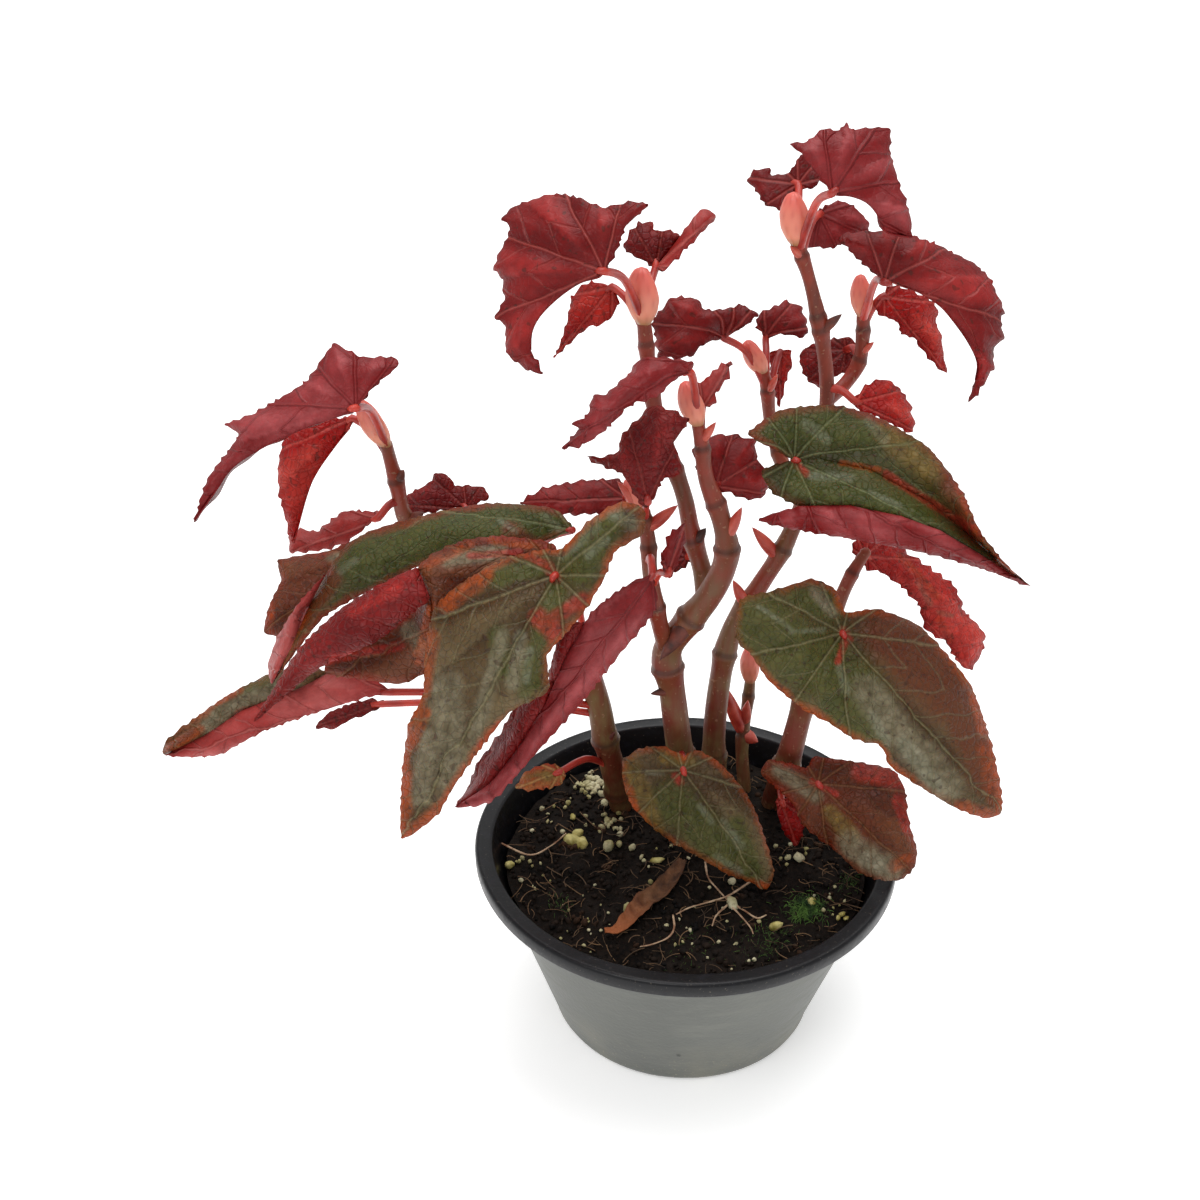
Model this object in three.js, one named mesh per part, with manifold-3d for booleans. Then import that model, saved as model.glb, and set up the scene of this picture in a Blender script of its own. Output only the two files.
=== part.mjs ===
// Potted begonia: a cane begonia in a shallow black nursery pot.
// Millimetres, +Z up. The origin is the middle of the pot's flat underside,
// and -Y is the side that faces the viewer.
import * as THREE from "three";
import { mergeVertices } from "three/addons/utils/BufferGeometryUtils.js";
import Module from "manifold-3d";

const wasm = await Module();
wasm.setup();

// ---- driving dimensions: pot ----
const POT_RIM_R = 76;
const POT_HEIGHT = 74;
const POT_RIM_BAND = 6.4;
const POT_RIM_DROP = 5;
const POT_RIM_ROUND = 1.4;
const POT_LIP_ROUND = 0.8;
const POT_EDGE = 0.6;
const POT_WALL = 1.6;
const POT_NECK_R = 69.6;
const POT_BASE_R = 47.5;
const POT_CORNER_R = 5;
const POT_INSIDE_LOW = 5.8;
const POT_TURN_R = POT_BASE_R + POT_CORNER_R / 4;
const POT_FLOOR = 1.8;
// The raised channel of the floor, and its drain holes.
const POT_PAD_R = 22;
const POT_CHANNEL_R = 43;
const POT_CHANNEL_RISE = 2.6;
const POT_CHANNEL_SLOPE = 1.5;
const DRAIN_COUNT = 6;
const DRAIN_R = 5;
const DRAIN_RING_R = 32.5;
const DRAIN_SIDES = 10;
const POT_SIDES = 40;

// ---- driving dimensions: soil ----
const SOIL_Z = 63.5;
const SOIL_GAP = 0.3;
// More room at the wall, where the pot's facets and the soil's differ.
const SOIL_WALL_GAP = 0.65;
const SOIL_EDGE = 1.5;
const SOIL_SIDES = 28;

// ---- driving dimensions: plant ----
const SEAT_GAP = 0.3;
const CANE_DEPTH = 20;
const CANE_SIDES = 8;
// A side cane or a stalk goes straight out from its cane for this far.
const STEP_OUT = 2.5;
const BUD_LEAN = 1.6;
const LEAF_THICK = 1.4;
const STALK_R = 1.5;
const STALK_SIDES = 5;
const TUBE_SPLITS = 2;
// How far a stalk runs along inside its blade, how much thinner it is there,
// and how much of its thickness stands behind the blade at the foot.
const STALK_GRIP = 2.5;
const STALK_TIP = 0.3;
const STALK_SINK = 0.6;
// How far a blade's swell has come halfway from its middle to its edge.
const RING_LIFT = 0.75;
// Least room, in pixels squared, for a spot to count as inside an outline.
const HUB_ROOM = 60;
// The width of a hanging half follows a half wave cut at both ends.
const FLAP_FROM = 0.06;
const FLAP_TO = 0.94;
const FLAP_ROUND = 0.6;
const FLAP_SAG = 0.04;
// How far in from the fold's edge the hanging half is rooted.
const FLAP_INSET = 0.3;
// Edges of joined leaves that are shorter than this are taken out.
const SLIVER = 0.02;

// ---- colours ----
const PAINT = {
  pot: [0x24252b, 0.45],
  soil: [0x2b2019, 0.95],
  cane: [0x6b3a2c, 0.6],
  bud: [0xd98a72, 0.55],
  olive: [0x56603a, 0.5],
  green: [0x5f7a3c, 0.5],
  brown: [0x6a4a34, 0.55],
  red: [0x8c2330, 0.5],
  bright: [0xb8262b, 0.5],
  mauve: [0x8e3842, 0.55],
  pink: [0xb0606a, 0.5],
  dark: [0x52202a, 0.55],
  yellow: [0xb08a3a, 0.6],
};

const plant = new THREE.Group();

function addMesh(name, geometry, paint) {
  const [color, roughness] = PAINT[paint];
  const mesh = new THREE.Mesh(
    geometry,
    new THREE.MeshStandardMaterial({ color, roughness, metalness: 0 }),
  );
  mesh.name = name;
  plant.add(mesh);
  return mesh;
}

// ---- solids: joining and cutting ----
function toSolid(geometry) {
  const bare = geometry.clone();
  bare.deleteAttribute("normal");
  bare.deleteAttribute("uv");
  const merged = mergeVertices(bare, 1e-4);
  return new wasm.Manifold(
    new wasm.Mesh({
      numProp: 3,
      vertProperties: new Float32Array(merged.attributes.position.array),
      triVerts: new Uint32Array(merged.index.array),
    }),
  );
}

function toGeometry(solid) {
  const mesh = solid.getMesh();
  const geometry = new THREE.BufferGeometry();
  const positions = new Float32Array(mesh.numVert * 3);
  for (let i = 0; i < mesh.numVert; i++) {
    for (let k = 0; k < 3; k++) {
      positions[3 * i + k] = mesh.vertProperties[i * mesh.numProp + k];
    }
  }
  geometry.setAttribute("position", new THREE.BufferAttribute(positions, 3));
  geometry.setIndex(new THREE.BufferAttribute(new Uint32Array(mesh.triVerts), 1));
  geometry.computeVertexNormals();
  return geometry;
}

// The pieces of a join that are too small to see are left out.
function largest(solid) {
  return solid.decompose().sort((a, b) => b.volume() - a.volume())[0];
}

function fromLists(points, faces) {
  const geometry = new THREE.BufferGeometry();
  geometry.setAttribute(
    "position",
    new THREE.BufferAttribute(new Float32Array(points.flatMap((p) => [p.x, p.y, p.z])), 3),
  );
  geometry.setIndex(faces.flat());
  geometry.computeVertexNormals();
  return geometry;
}

// ---- tubes: canes and leaf stalks ----
// A closed tube through rings of changing radius, with flat ends.
function tube(points, radii, sides) {
  const rings = [];
  let side = new THREE.Vector3(1, 0, 0);
  points.forEach((p, i) => {
    const ahead = points[Math.min(i + 1, points.length - 1)];
    const behind = points[Math.max(i - 1, 0)];
    const along = ahead.clone().sub(behind).normalize();
    side.addScaledVector(along, -side.dot(along)).normalize();
    const up = along.clone().cross(side);
    const ring = [];
    for (let k = 0; k < sides; k++) {
      const a = (2 * Math.PI * k) / sides;
      ring.push(
        p
          .clone()
          .addScaledVector(side, radii[i] * Math.cos(a))
          .addScaledVector(up, radii[i] * Math.sin(a)),
      );
    }
    rings.push(ring);
  });
  const list = rings.flat();
  const faces = [];
  const n = sides;
  for (let i = 0; i < rings.length - 1; i++) {
    for (let k = 0; k < n; k++) {
      const a = i * n + k;
      const b = i * n + ((k + 1) % n);
      faces.push([a, b, b + n], [a, b + n, a + n]);
    }
  }
  const first = list.length;
  list.push(points[0].clone(), points[points.length - 1].clone());
  const end = (rings.length - 1) * n;
  for (let k = 0; k < n; k++) {
    faces.push([first, (k + 1) % n, k], [first + 1, end + k, end + ((k + 1) % n)]);
  }
  return fromLists(list, faces);
}

// Steps along a smooth curve through the given points, radii in between.
function smooth(points, radii, steps) {
  const curve = new THREE.CatmullRomCurve3(points, false, "centripetal");
  const outPoints = [];
  const outRadii = [];
  const total = (points.length - 1) * steps;
  for (let i = 0; i <= total; i++) {
    const t = i / total;
    const at = t * (points.length - 1);
    const k = Math.min(Math.floor(at), points.length - 2);
    outPoints.push(curve.getPoint(t));
    outRadii.push(radii[k] + (radii[k + 1] - radii[k]) * (at - k));
  }
  return [outPoints, outRadii];
}

// ---- where things stand ----
// Points of the plant are given as [across, down, y]: the place of the point
// in the front view, in pixels of a 1200-pixel square, and its depth in mm.
const EYE = new THREE.Vector3(-31, -483, 464);
const EYE_PITCH = (31 * Math.PI) / 180;
const EYE_FOCUS = 1700;
const EYE_CENTRE = 600;

function sightLine(across, down) {
  const ahead = new THREE.Vector3(0, Math.cos(EYE_PITCH), -Math.sin(EYE_PITCH));
  const up = new THREE.Vector3(0, Math.sin(EYE_PITCH), Math.cos(EYE_PITCH));
  ahead.x += (across - EYE_CENTRE) / EYE_FOCUS;
  return ahead.addScaledVector(up, -(down - EYE_CENTRE) / EYE_FOCUS);
}

function place([across, down, y]) {
  const ray = sightLine(across, down);
  return EYE.clone().addScaledVector(ray, (y - EYE.y) / ray.y);
}

function onSoil([across, down]) {
  const ray = sightLine(across, down);
  return EYE.clone().addScaledVector(ray, (SOIL_Z - EYE.z) / ray.z);
}

// ---- pot ----
// Turned wall with a flat rim band that turns down at its edge. The middle of
// the floor and the foot's edge stand flat. Between them the floor is raised
// in a channel, with a ring of drain holes, so that water can run out.
function pot() {
  const lip = POT_RIM_R - POT_RIM_BAND;
  const bottom = POT_HEIGHT - POT_RIM_DROP;
  const profile = [
    [0, 0],
    [POT_PAD_R, 0],
    [POT_PAD_R + POT_CHANNEL_SLOPE, POT_CHANNEL_RISE],
    [POT_CHANNEL_R - POT_CHANNEL_SLOPE, POT_CHANNEL_RISE],
    [POT_CHANNEL_R, 0],
    [POT_BASE_R - POT_CORNER_R * 0.5, 0],
    [POT_BASE_R - POT_CORNER_R * 0.1, POT_CORNER_R * 0.25],
    [POT_TURN_R, POT_CORNER_R],
    [POT_NECK_R, bottom],
    [POT_RIM_R - POT_WALL, bottom + POT_WALL],
    [POT_RIM_R - POT_WALL, bottom - POT_EDGE],
    [POT_RIM_R - POT_EDGE / 3, bottom - POT_EDGE],
    [POT_RIM_R, bottom + POT_EDGE],
    [POT_RIM_R, POT_HEIGHT - 2 * POT_EDGE],
    [POT_RIM_R - POT_RIM_ROUND, POT_HEIGHT],
    [lip + POT_EDGE, POT_HEIGHT],
    [lip, POT_HEIGHT - POT_LIP_ROUND],
    [POT_TURN_R - POT_WALL, POT_INSIDE_LOW],
    [POT_CHANNEL_R, POT_CHANNEL_RISE + POT_FLOOR],
    [POT_PAD_R + POT_CHANNEL_SLOPE / 3, POT_CHANNEL_RISE + POT_FLOOR],
    [POT_PAD_R - (2 * POT_CHANNEL_SLOPE) / 3, POT_FLOOR],
    [0, POT_FLOOR],
  ].map(([r, z]) => new THREE.Vector2(r, z));
  let solid = toSolid(new THREE.LatheGeometry(profile, POT_SIDES).rotateX(Math.PI / 2));
  if (solid.volume() < 0) throw new Error("pot turned inside out");
  for (let i = 0; i < DRAIN_COUNT; i++) {
    const a = (2 * Math.PI * (i + 0.5)) / DRAIN_COUNT;
    const drill = new THREE.CylinderGeometry(DRAIN_R, DRAIN_R, 3 * POT_FLOOR, DRAIN_SIDES)
      .rotateX(Math.PI / 2)
      .translate(
        DRAIN_RING_R * Math.cos(a),
        DRAIN_RING_R * Math.sin(a),
        POT_CHANNEL_RISE + POT_FLOOR / 2,
      );
    solid = solid.subtract(toSolid(drill));
  }
  return solid;
}

// ---- canes ----
// root: where a cane stands in the soil, [across, down, radius].
// from: the cane that a side cane grows on, and the view point near it.
// path: [across, down, y, radius] up the cane.
const CANES = {
  left_cane: {
    root: [622, 806, 4.4],
    path: [
      [606, 742, 20, 4.4], [596, 695, 16, 4.2], [570, 632, 10, 3.8], [508, 578, 12, 3.2],
      [444, 546, 16, 2.8], [408, 522, 14, 2.6], [396, 481, 8, 2.4], [386, 444, 2, 2.1],
    ],
  },
  middle_cane: {
    root: [686, 800, 4.8],
    path: [
      [679, 745, 19, 4.8], [672, 690, 18, 4.7], [667, 652, 17, 5.0], [684, 626, 15, 4.7],
      [706, 600, 12, 4.5], [722, 572, 10, 4.2], [727, 546, 8, 3.8], [719, 512, 6, 3.0],
      [706, 478, 4, 2.5], [702, 445, 2, 2.2], [698, 424, 1, 2.1],
    ],
  },
  right_top_cane: {
    root: [716, 800, 4.2],
    path: [
      [714, 740, 30, 4.2], [720, 680, 32, 4.0], [732, 630, 32, 3.7], [758, 588, 32, 3.3],
      [782, 550, 31, 3.0], [802, 505, 30, 2.8], [820, 450, 30, 2.5], [827, 400, 30, 2.5],
      [824, 352, 29, 2.4], [817, 312, 27, 2.3], [808, 275, 25, 2.1], [797, 243, 23, 2.0],
    ],
  },
  right_cane: {
    root: [774, 802, 4.4],
    path: [
      [788, 760, 14, 4.4], [803, 706, 12, 4.0], [820, 655, 10, 3.2], [838, 605, 8, 2.4],
      [852, 574, 8, 2.0], [866, 552, 8, 1.8],
    ],
  },
  young_cane: {
    root: [744, 790, 2.4],
    path: [[742, 745, 44, 2.4], [748, 700, 48, 2.1], [750, 682, 48, 2.0]],
  },
  upper_left_cane: {
    from: ["middle_cane", 706, 600],
    path: [
      [702, 570, 20, 3.2], [692, 535, 20, 3.1], [684, 496, 18, 2.8], [668, 450, 16, 2.6],
      [654, 405, 14, 2.5], [648, 362, 12, 2.3], [644, 322, 11, 2.2],
    ],
  },
  short_cane: {
    from: ["middle_cane", 667, 652],
    path: [[657, 612, 8, 2.8], [650, 572, 4, 2.6], [648, 540, 2, 2.4], [643, 512, 0, 2.2]],
  },
  right_side_shoot: {
    from: ["right_top_cane", 827, 400],
    path: [[845, 384, 38, 2.3], [859, 362, 41, 2.2], [863, 334, 40, 2.1], [863, 316, 39, 2.0]],
  },
  centre_shoot: {
    from: ["right_top_cane", 802, 505],
    path: [[784, 468, 44, 2.4], [771, 425, 50, 2.2], [767, 388, 50, 2.1], [763, 372, 49, 2.0]],
  },
};

const canes = {};
for (const [name, cane] of Object.entries(CANES)) {
  const points = [];
  const radii = [];
  if (cane.root) {
    const foot = onSoil(cane.root);
    points.push(foot.clone().setZ(SOIL_Z - CANE_DEPTH), foot.clone().setZ(SOIL_Z + 1));
    radii.push(cane.root[2], cane.root[2]);
  } else {
    const [parent, across, down] = cane.from;
    const near = nearCane(canes[parent], across, down);
    const first = place(cane.path[0]);
    const off = first.clone().sub(near.point);
    off.addScaledVector(near.along, -off.dot(near.along)).normalize();
    for (const step of [0, STEP_OUT]) {
      points.push(near.point.clone().addScaledVector(off, near.radius + 1.5 * SEAT_GAP + step));
      radii.push(cane.path[0][3]);
    }
  }
  for (const p of cane.path) {
    points.push(place(p));
    radii.push(p[3]);
  }
  const [line, size] = smooth(points, radii, TUBE_SPLITS);
  canes[name] = { line, size, rooted: Boolean(cane.root) };
  addMesh(name, tube(line, size, CANE_SIDES), "cane");
}

// The point of a cane's middle line that lies nearest a point of the view.
function nearCane(cane, across, down) {
  const ray = sightLine(across, down).normalize();
  let best = null;
  for (let i = 0; i < cane.line.length - 1; i++) {
    for (let k = 0; k < 4; k++) {
      const point = cane.line[i].clone().lerp(cane.line[i + 1], k / 4);
      const off = point.clone().sub(EYE);
      const miss = off.addScaledVector(ray, -off.dot(ray)).length();
      if (!best || miss < best.miss) {
        const along = cane.line[i + 1].clone().sub(cane.line[i]).normalize();
        const radius = cane.size[i] + (cane.size[i + 1] - cane.size[i]) * (k / 4);
        best = { miss, point, along, radius };
      }
    }
  }
  return best;
}

// ---- buds ----
// The pointed sheath that wraps the tip of a cane: a small teardrop that
// stands on the cane's end, leaning toward a point of the view.
const BUDS = {
  left_bud: ["left_cane", 356, 405, 18, 4.6],
  middle_bud: ["middle_cane", 685, 388, 16, 4.6],
  upper_left_bud: ["upper_left_cane", 643, 265, 18, 6.0],
  short_cane_bud: ["short_cane", 622, 478, 14, 3.8],
  right_top_bud: ["right_top_cane", 800, 190, 17, 5.4],
  right_shoot_bud: ["right_side_shoot", 860, 272, 14, 4.2],
  centre_bud: ["centre_shoot", 742, 340, 13, 4.2],
  young_bud: ["young_cane", 748, 645, 14, 4.2],
};

function budShape(length, radius, base) {
  const profile = [
    [0, 0],
    [base, 0],
    [radius * 0.9, length * 0.22],
    [radius, length * 0.4],
    [radius * 0.72, length * 0.66],
    [radius * 0.3, length * 0.9],
    [0, length],
  ].map(([r, z]) => new THREE.Vector2(r, z));
  return new THREE.LatheGeometry(profile, CANE_SIDES).rotateX(Math.PI / 2);
}

for (const [name, [cane, across, down, length, radius]] of Object.entries(BUDS)) {
  const { line, size } = canes[cane];
  const top = line[line.length - 1];
  const along = top.clone().sub(line[line.length - 2]).normalize();
  const tip = place([across, down, top.y]);
  const lean = along.clone().multiplyScalar(BUD_LEAN).add(tip.sub(top).normalize()).normalize();
  const end = size[size.length - 1];
  const geometry = budShape(length, radius, end * 0.9);
  const upward = new THREE.Vector3(0, 0, 1);
  geometry.applyQuaternion(new THREE.Quaternion().setFromUnitVectors(upward, lean));
  // A leaning base needs room so that its low side clears the cane's end.
  const tilt = Math.sqrt(Math.max(0, 1 - lean.dot(along) ** 2)) * end;
  const foot = top.clone().addScaledVector(along, SEAT_GAP + tilt);
  geometry.translate(foot.x, foot.y, foot.z);
  addMesh(name, toGeometry(toSolid(geometry)), "bud");
}

// ---- leaves ----
// A leaf is a thin blade on its own stalk. A blade has one panel, or more
// where it is folded or rolled, and panels join where they share points.
// cane: the cane, and the spot of the view where the stalk leaves it.
// heel, tip: where the stalk meets the blade, and the blade's far end.
// via: a point that the stalk passes through.
// look: the way a panel faces. centre: a point of the panel's plane.
// outline: [across, down] spots round it, or [across, down, y] off its plane.
// bow: how far the middle swells toward the viewer, in mm.
// fold, flap: the edge from which the hidden half hangs, its way and width.
const LEAVES = {
  front_left_leaf: {
    cane: ["left_cane", 590, 680], heel: [556, 575, -57], tip: [402, 838], tone: "olive",
    panels: [{
      look: [-0.3, -0.8, 0.52], bow: 7,
      outline: [
        [562, 548], [590, 520], [620, 502], [643, 508], [644, 533], [616, 551], [604, 579], [584, 612],
        [560, 640], [547, 656], [548, 691], [510, 712], [476, 755], [453, 788], [437, 815], [402, 838],
        [402, 774], [409, 723], [423, 695], [425, 650], [434, 609], [457, 586], [500, 560], [540, 550],
      ],
    }],
  },
  front_rolled_leaf: {
    cane: ["short_cane", 650, 560], heel: [652, 576, -22], tip: [455, 807], tone: "mauve",
    panels: [{
      look: [0.35, -0.9, 0.3], bow: 3, centre: [580, 682, -44],
      outline: [
        [652, 576, -22], [656, 609], [620, 654], [584, 700], [538, 751], [492, 801], [455, 807, -62],
        [490, 784, -58], [515, 752, -55], [546, 703, -52], [566, 655, -47], [585, 622, -42],
        [600, 604], [630, 583],
      ],
    }, {
      look: [-0.6, -0.7, 0.4], bow: 1, centre: [540, 700, -50], tone: "dark",
      outline: [
        [585, 622, -42], [566, 655, -47], [546, 703, -52], [515, 752, -55], [490, 784, -58],
        [455, 807, -62],
        [467, 789], [478, 762], [501, 732], [518, 702], [545, 690], [551, 664], [561, 631],
      ],
    }],
  },
  right_front_leaf: {
    cane: ["right_cane", 812, 680], heel: [842, 633, -24], tip: [1001, 813], tone: "olive",
    panels: [{
      look: [0.25, -0.8, 0.55], bow: 7,
      outline: [
        [846, 612], [877, 609], [921, 627], [969, 682], [990, 738], [1001, 788], [1001, 813], [984, 818],
        [950, 805], [892, 768], [881, 746], [854, 739], [829, 723], [806, 711], [770, 682], [752, 656],
        [736, 638], [740, 600], [775, 590], [812, 579], [836, 590],
      ],
    }],
  },
  right_green_leaf: {
    cane: ["right_top_cane", 802, 500], heel: [794, 460, -2], tip: [1032, 587], tone: "green",
    panels: [{
      look: [0, -0.5, 0.87], bow: 3, centre: [870, 445, -3],
      outline: [
        [794, 460, -2], [775, 450], [748, 434], [781, 410], [833, 405], [875, 416], [928, 447], [962, 491],
        [980, 531], [1008, 566], [1032, 587, -22], [985, 549, -20], [930, 502, -14], [870, 470, -9],
        [820, 459, -5],
      ],
    }, {
      look: [0, -0.8, 0.6], bow: 2, centre: [850, 486, -14],
      outline: [
        [794, 460, -2], [820, 459, -5], [870, 470, -9], [930, 502, -14], [985, 549, -20], [1032, 587, -22],
        [980, 554, -26], [940, 530, -26], [901, 516, -24], [849, 505, -20], [800, 506, -16],
        [772, 492, -10], [762, 470, -4],
      ],
    }, {
      look: [0.1, -0.95, 0.1], bow: 4, centre: [870, 526, -25], tone: "mauve",
      outline: [
        [758, 520, -12], [800, 506, -16], [849, 505, -20], [901, 516, -24], [940, 530, -26],
        [980, 554, -26],
        [1032, 587, -22], [985, 570, -24], [928, 554, -25], [862, 541, -22], [797, 530, -16],
      ],
    }],
  },
  left_red_fold_leaf: {
    cane: ["left_cane", 560, 615], heel: [548, 562, -34], tip: [254, 722], tone: "brown",
    panels: [{
      look: [-0.2, -0.6, 0.8], bow: 3, centre: [450, 578, -40],
      outline: [
        [556, 562], [551, 543], [500, 536], [464, 540], [436, 552], [418, 568, -42],
        [430, 597, -50], [434, 640, -52], [440, 640], [460, 600], [500, 572],
      ],
    }, {
      look: [-0.2, -0.8, 0.5], bow: 4, centre: [345, 636, -52], tone: "dark",
      outline: [
        [418, 568, -42], [377, 586], [339, 610], [301, 646], [275, 686], [254, 722, -62],
        [285, 696], [320, 668], [377, 641], [411, 614], [430, 597, -50],
      ],
    }, {
      look: [-0.1, -0.9, 0.4], bow: 1, centre: [385, 655, -44], tone: "brown",
      outline: [
        [430, 597, -50], [434, 640, -52], [425, 672], [400, 684], [366, 680], [326, 674], [330, 660],
        [377, 637], [411, 612],
      ],
    }],
  },
  left_arching_leaf: {
    cane: ["left_cane", 520, 585], heel: [572, 530, -10], tip: [272, 684], tone: "green",
    panels: [{
      look: [-0.15, -0.5, 0.85], bow: 4, centre: [420, 545, -10],
      outline: [
        [572, 530, -10], [552, 508], [492, 503], [450, 509], [402, 521], [370, 531], [346, 545],
        [326, 574, -15],
        [306, 612, -24], [290, 650, -33], [272, 684, -42], [323, 618], [377, 587], [428, 562],
        [470, 550], [520, 548],
      ],
    }, {
      look: [-0.6, -0.75, 0.3], bow: 2, centre: [298, 630, -30], tone: "pink",
      outline: [
        [326, 574, -15], [298, 604], [278, 636], [268, 664], [272, 684, -42], [290, 650, -33],
        [306, 612, -24],
      ],
    }],
  },
  far_left_leaf: {
    cane: ["left_cane", 470, 560], heel: [372, 552, 26], tip: [264, 632], tone: "brown",
    panels: [{
      look: [-0.3, -0.6, 0.75], bow: 2, centre: [312, 578, 24],
      outline: [
        [372, 552, 26], [350, 542], [328, 551], [279, 560], [281, 580], [269, 606], [264, 632], [284, 636],
        [301, 612], [330, 590], [362, 572],
      ],
    }],
  },
  low_left_leaf: {
    cane: ["left_cane", 600, 705], heel: [392, 692, -27], via: [500, 694, -2],
    tip: [165, 755], tone: "olive",
    panels: [{
      look: [-0.1, -0.5, 0.85], bow: 2, centre: [235, 704, -30],
      outline: [
        [165, 755, -34], [165, 742], [184, 726], [226, 696], [267, 675], [300, 668], [330, 672, -22],
        [300, 688, -26], [275, 697, -28], [241, 711, -30], [205, 735, -32],
      ],
    }, {
      look: [-0.1, -0.85, 0.4], bow: 2, centre: [275, 712, -30], tone: "pink",
      outline: [
        [392, 692, -27], [364, 698], [303, 717], [260, 733], [221, 754], [198, 757], [165, 755, -34],
        [205, 735, -32], [241, 711, -30], [275, 697, -28], [300, 688, -26], [330, 672, -22], [366, 676],
      ],
    }],
  },
  left_pink_leaf: {
    cane: ["left_cane", 402, 500], heel: [378, 518, 4], tip: [291, 552], tone: "pink",
    panels: [{
      look: [-0.2, -0.6, 0.8], bow: 3, centre: [335, 535, 4],
      outline: [
        [378, 518, 4], [378, 512], [345, 511], [329, 522], [317, 531], [300, 529], [290, 534],
        [291, 552], [329, 549], [351, 539], [366, 527],
      ],
    }],
  },
  left_crown_leaf: {
    cane: ["left_cane", 384, 438], heel: [356, 408, -16], tip: [194, 522], tone: "mauve",
    panels: [{
      look: [-0.2, -0.7, 0.65], bow: 3, centre: [310, 405, -22],
      fold: [11, 17], flap: [-0.1, 0.92, -0.37, 16],
      outline: [
        [362, 402], [376, 385], [398, 366], [394, 357], [362, 357], [333, 345], [305, 382], [250, 415],
        [225, 424], [238, 436], [208, 478], [194, 522], [215, 492], [232, 468], [255, 452],
        [278, 440], [310, 426], [352, 412],
      ],
    }],
  },
  left_crown_young_leaf: {
    cane: ["left_cane", 388, 455], heel: [352, 418, 4], tip: [294, 543], tone: "bright",
    panels: [{
      look: [0, -0.9, 0.35], bow: 3, centre: [310, 450, 0], fold: [7, 11], flap: [-0.22, 0.88, -0.42, 9],
      outline: [
        [352, 418, 4], [318, 420], [286, 435], [278, 467], [279, 493], [284, 514], [290, 536], [294, 543],
        [307, 495], [317, 472], [336, 445], [350, 428],
      ],
    }],
  },
  top_left_crown_leaf: {
    cane: ["upper_left_cane", 646, 318], heel: [604, 271, -4], tip: [543, 373], tone: "red",
    panels: [{
      look: [-0.35, -0.75, 0.55], bow: 4, centre: [562, 258, -8],
      fold: [20, 26], flap: [-0.06, 0.96, -0.28, 17],
      outline: [
        [608, 266], [619, 246], [626, 226], [648, 206], [636, 201], [602, 207], [577, 197], [552, 194],
        [515, 206], [502, 218], [510, 230], [494, 265], [502, 280], [504, 300], [495, 316], [505, 326],
        [506, 352], [516, 362], [530, 371], [543, 373], [531, 350], [532, 332], [540, 316], [558, 298],
        [580, 283], [600, 277],
      ],
    }],
  },
  top_left_hanging_leaf: {
    cane: ["upper_left_cane", 646, 330], heel: [612, 287, 22], tip: [554, 358], tone: "bright",
    panels: [{
      look: [-0.3, -0.85, 0.4], bow: 2.4, centre: [592, 306, 22.4],
      outline: [
        [612, 287, 22], [619, 302], [608, 321], [589, 327], [572, 341], [554, 358], [561, 341], [569, 313],
        [572, 296], [590, 282],
      ],
    }],
  },
  top_left_back_leaf: {
    cane: ["upper_left_cane", 645, 326], heel: [656, 266, 30], tip: [716, 214], tone: "dark",
    panels: [{
      look: [-0.2, -0.8, 0.5], bow: 2, centre: [650, 244, 34],
      outline: [
        [656, 266, 30], [640, 259], [623, 247], [637, 224], [650, 222], [656, 230], [672, 231],
        [680, 236, 33], [668, 252, 32],
      ],
    }, {
      look: [0.3, -0.8, 0.5], bow: 2, centre: [688, 236, 30], tone: "pink",
      outline: [
        [656, 266, 30], [668, 252, 32], [680, 236, 33], [700, 210], [711, 211], [716, 217], [697, 238],
        [675, 260], [662, 272],
      ],
    }],
  },
  centre_left_wing_leaf: {
    cane: ["centre_shoot", 768, 388], heel: [724, 338, 40], tip: [654, 324], tone: "red",
    panels: [{
      look: [0, -0.75, 0.65], bow: 4, centre: [694, 326, 34],
      outline: [
        [724, 338, 40], [704, 344], [689, 357], [660, 357], [655, 336], [653, 320], [664, 306], [675, 297],
        [697, 299], [706, 310], [724, 309], [743, 305], [757, 315], [742, 328],
      ],
    }],
  },
  centre_right_wing_leaf: {
    cane: ["centre_shoot", 766, 380], heel: [766, 337, 62], tip: [807, 328], tone: "red",
    panels: [{
      look: [0.1, -0.75, 0.65], bow: 3, centre: [784, 320, 62],
      outline: [
        [766, 337, 62], [757, 327], [758, 315], [778, 305], [787, 301], [801, 308], [808, 328],
        [803, 338], [785, 334],
      ],
    }],
  },
  centre_hanging_leaf: {
    cane: ["centre_shoot", 770, 400], heel: [780, 352, 62], tip: [780, 407], tone: "bright",
    panels: [{
      look: [0.1, -0.95, 0.2], bow: 1, centre: [780, 370, 62],
      outline: [
        [780, 350], [790, 352], [792, 365], [786, 380], [780, 407], [773, 388], [770, 366], [770, 352],
      ],
    }],
  },
  middle_crown_leaf: {
    cane: ["middle_cane", 696, 425], heel: [690, 372, -12], tip: [562, 448], tone: "mauve",
    panels: [{
      look: [-0.2, -0.75, 0.65], bow: 5, centre: [632, 388, -20],
      outline: [
        [690, 372, -12], [692, 362], [658, 357], [640, 359], [629, 373], [606, 394], [593, 396],
        [587, 415],
        [571, 424], [579, 429], [562, 448], [583, 445], [608, 428], [631, 405], [658, 396], [673, 381],
      ],
    }],
  },
  middle_crown_side_leaf: {
    cane: ["middle_cane", 699, 434], heel: [702, 408, 6], tip: [731, 361], tone: "pink",
    panels: [{
      look: [0.2, -0.85, 0.45], bow: 2, centre: [712, 388, 8],
      outline: [
        [702, 408, 6], [698, 398], [692, 386], [704, 380], [718, 367], [731, 361], [728, 378],
        [716, 392], [716, 403],
      ],
    }],
  },
  top_right_crown_leaf: {
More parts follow.
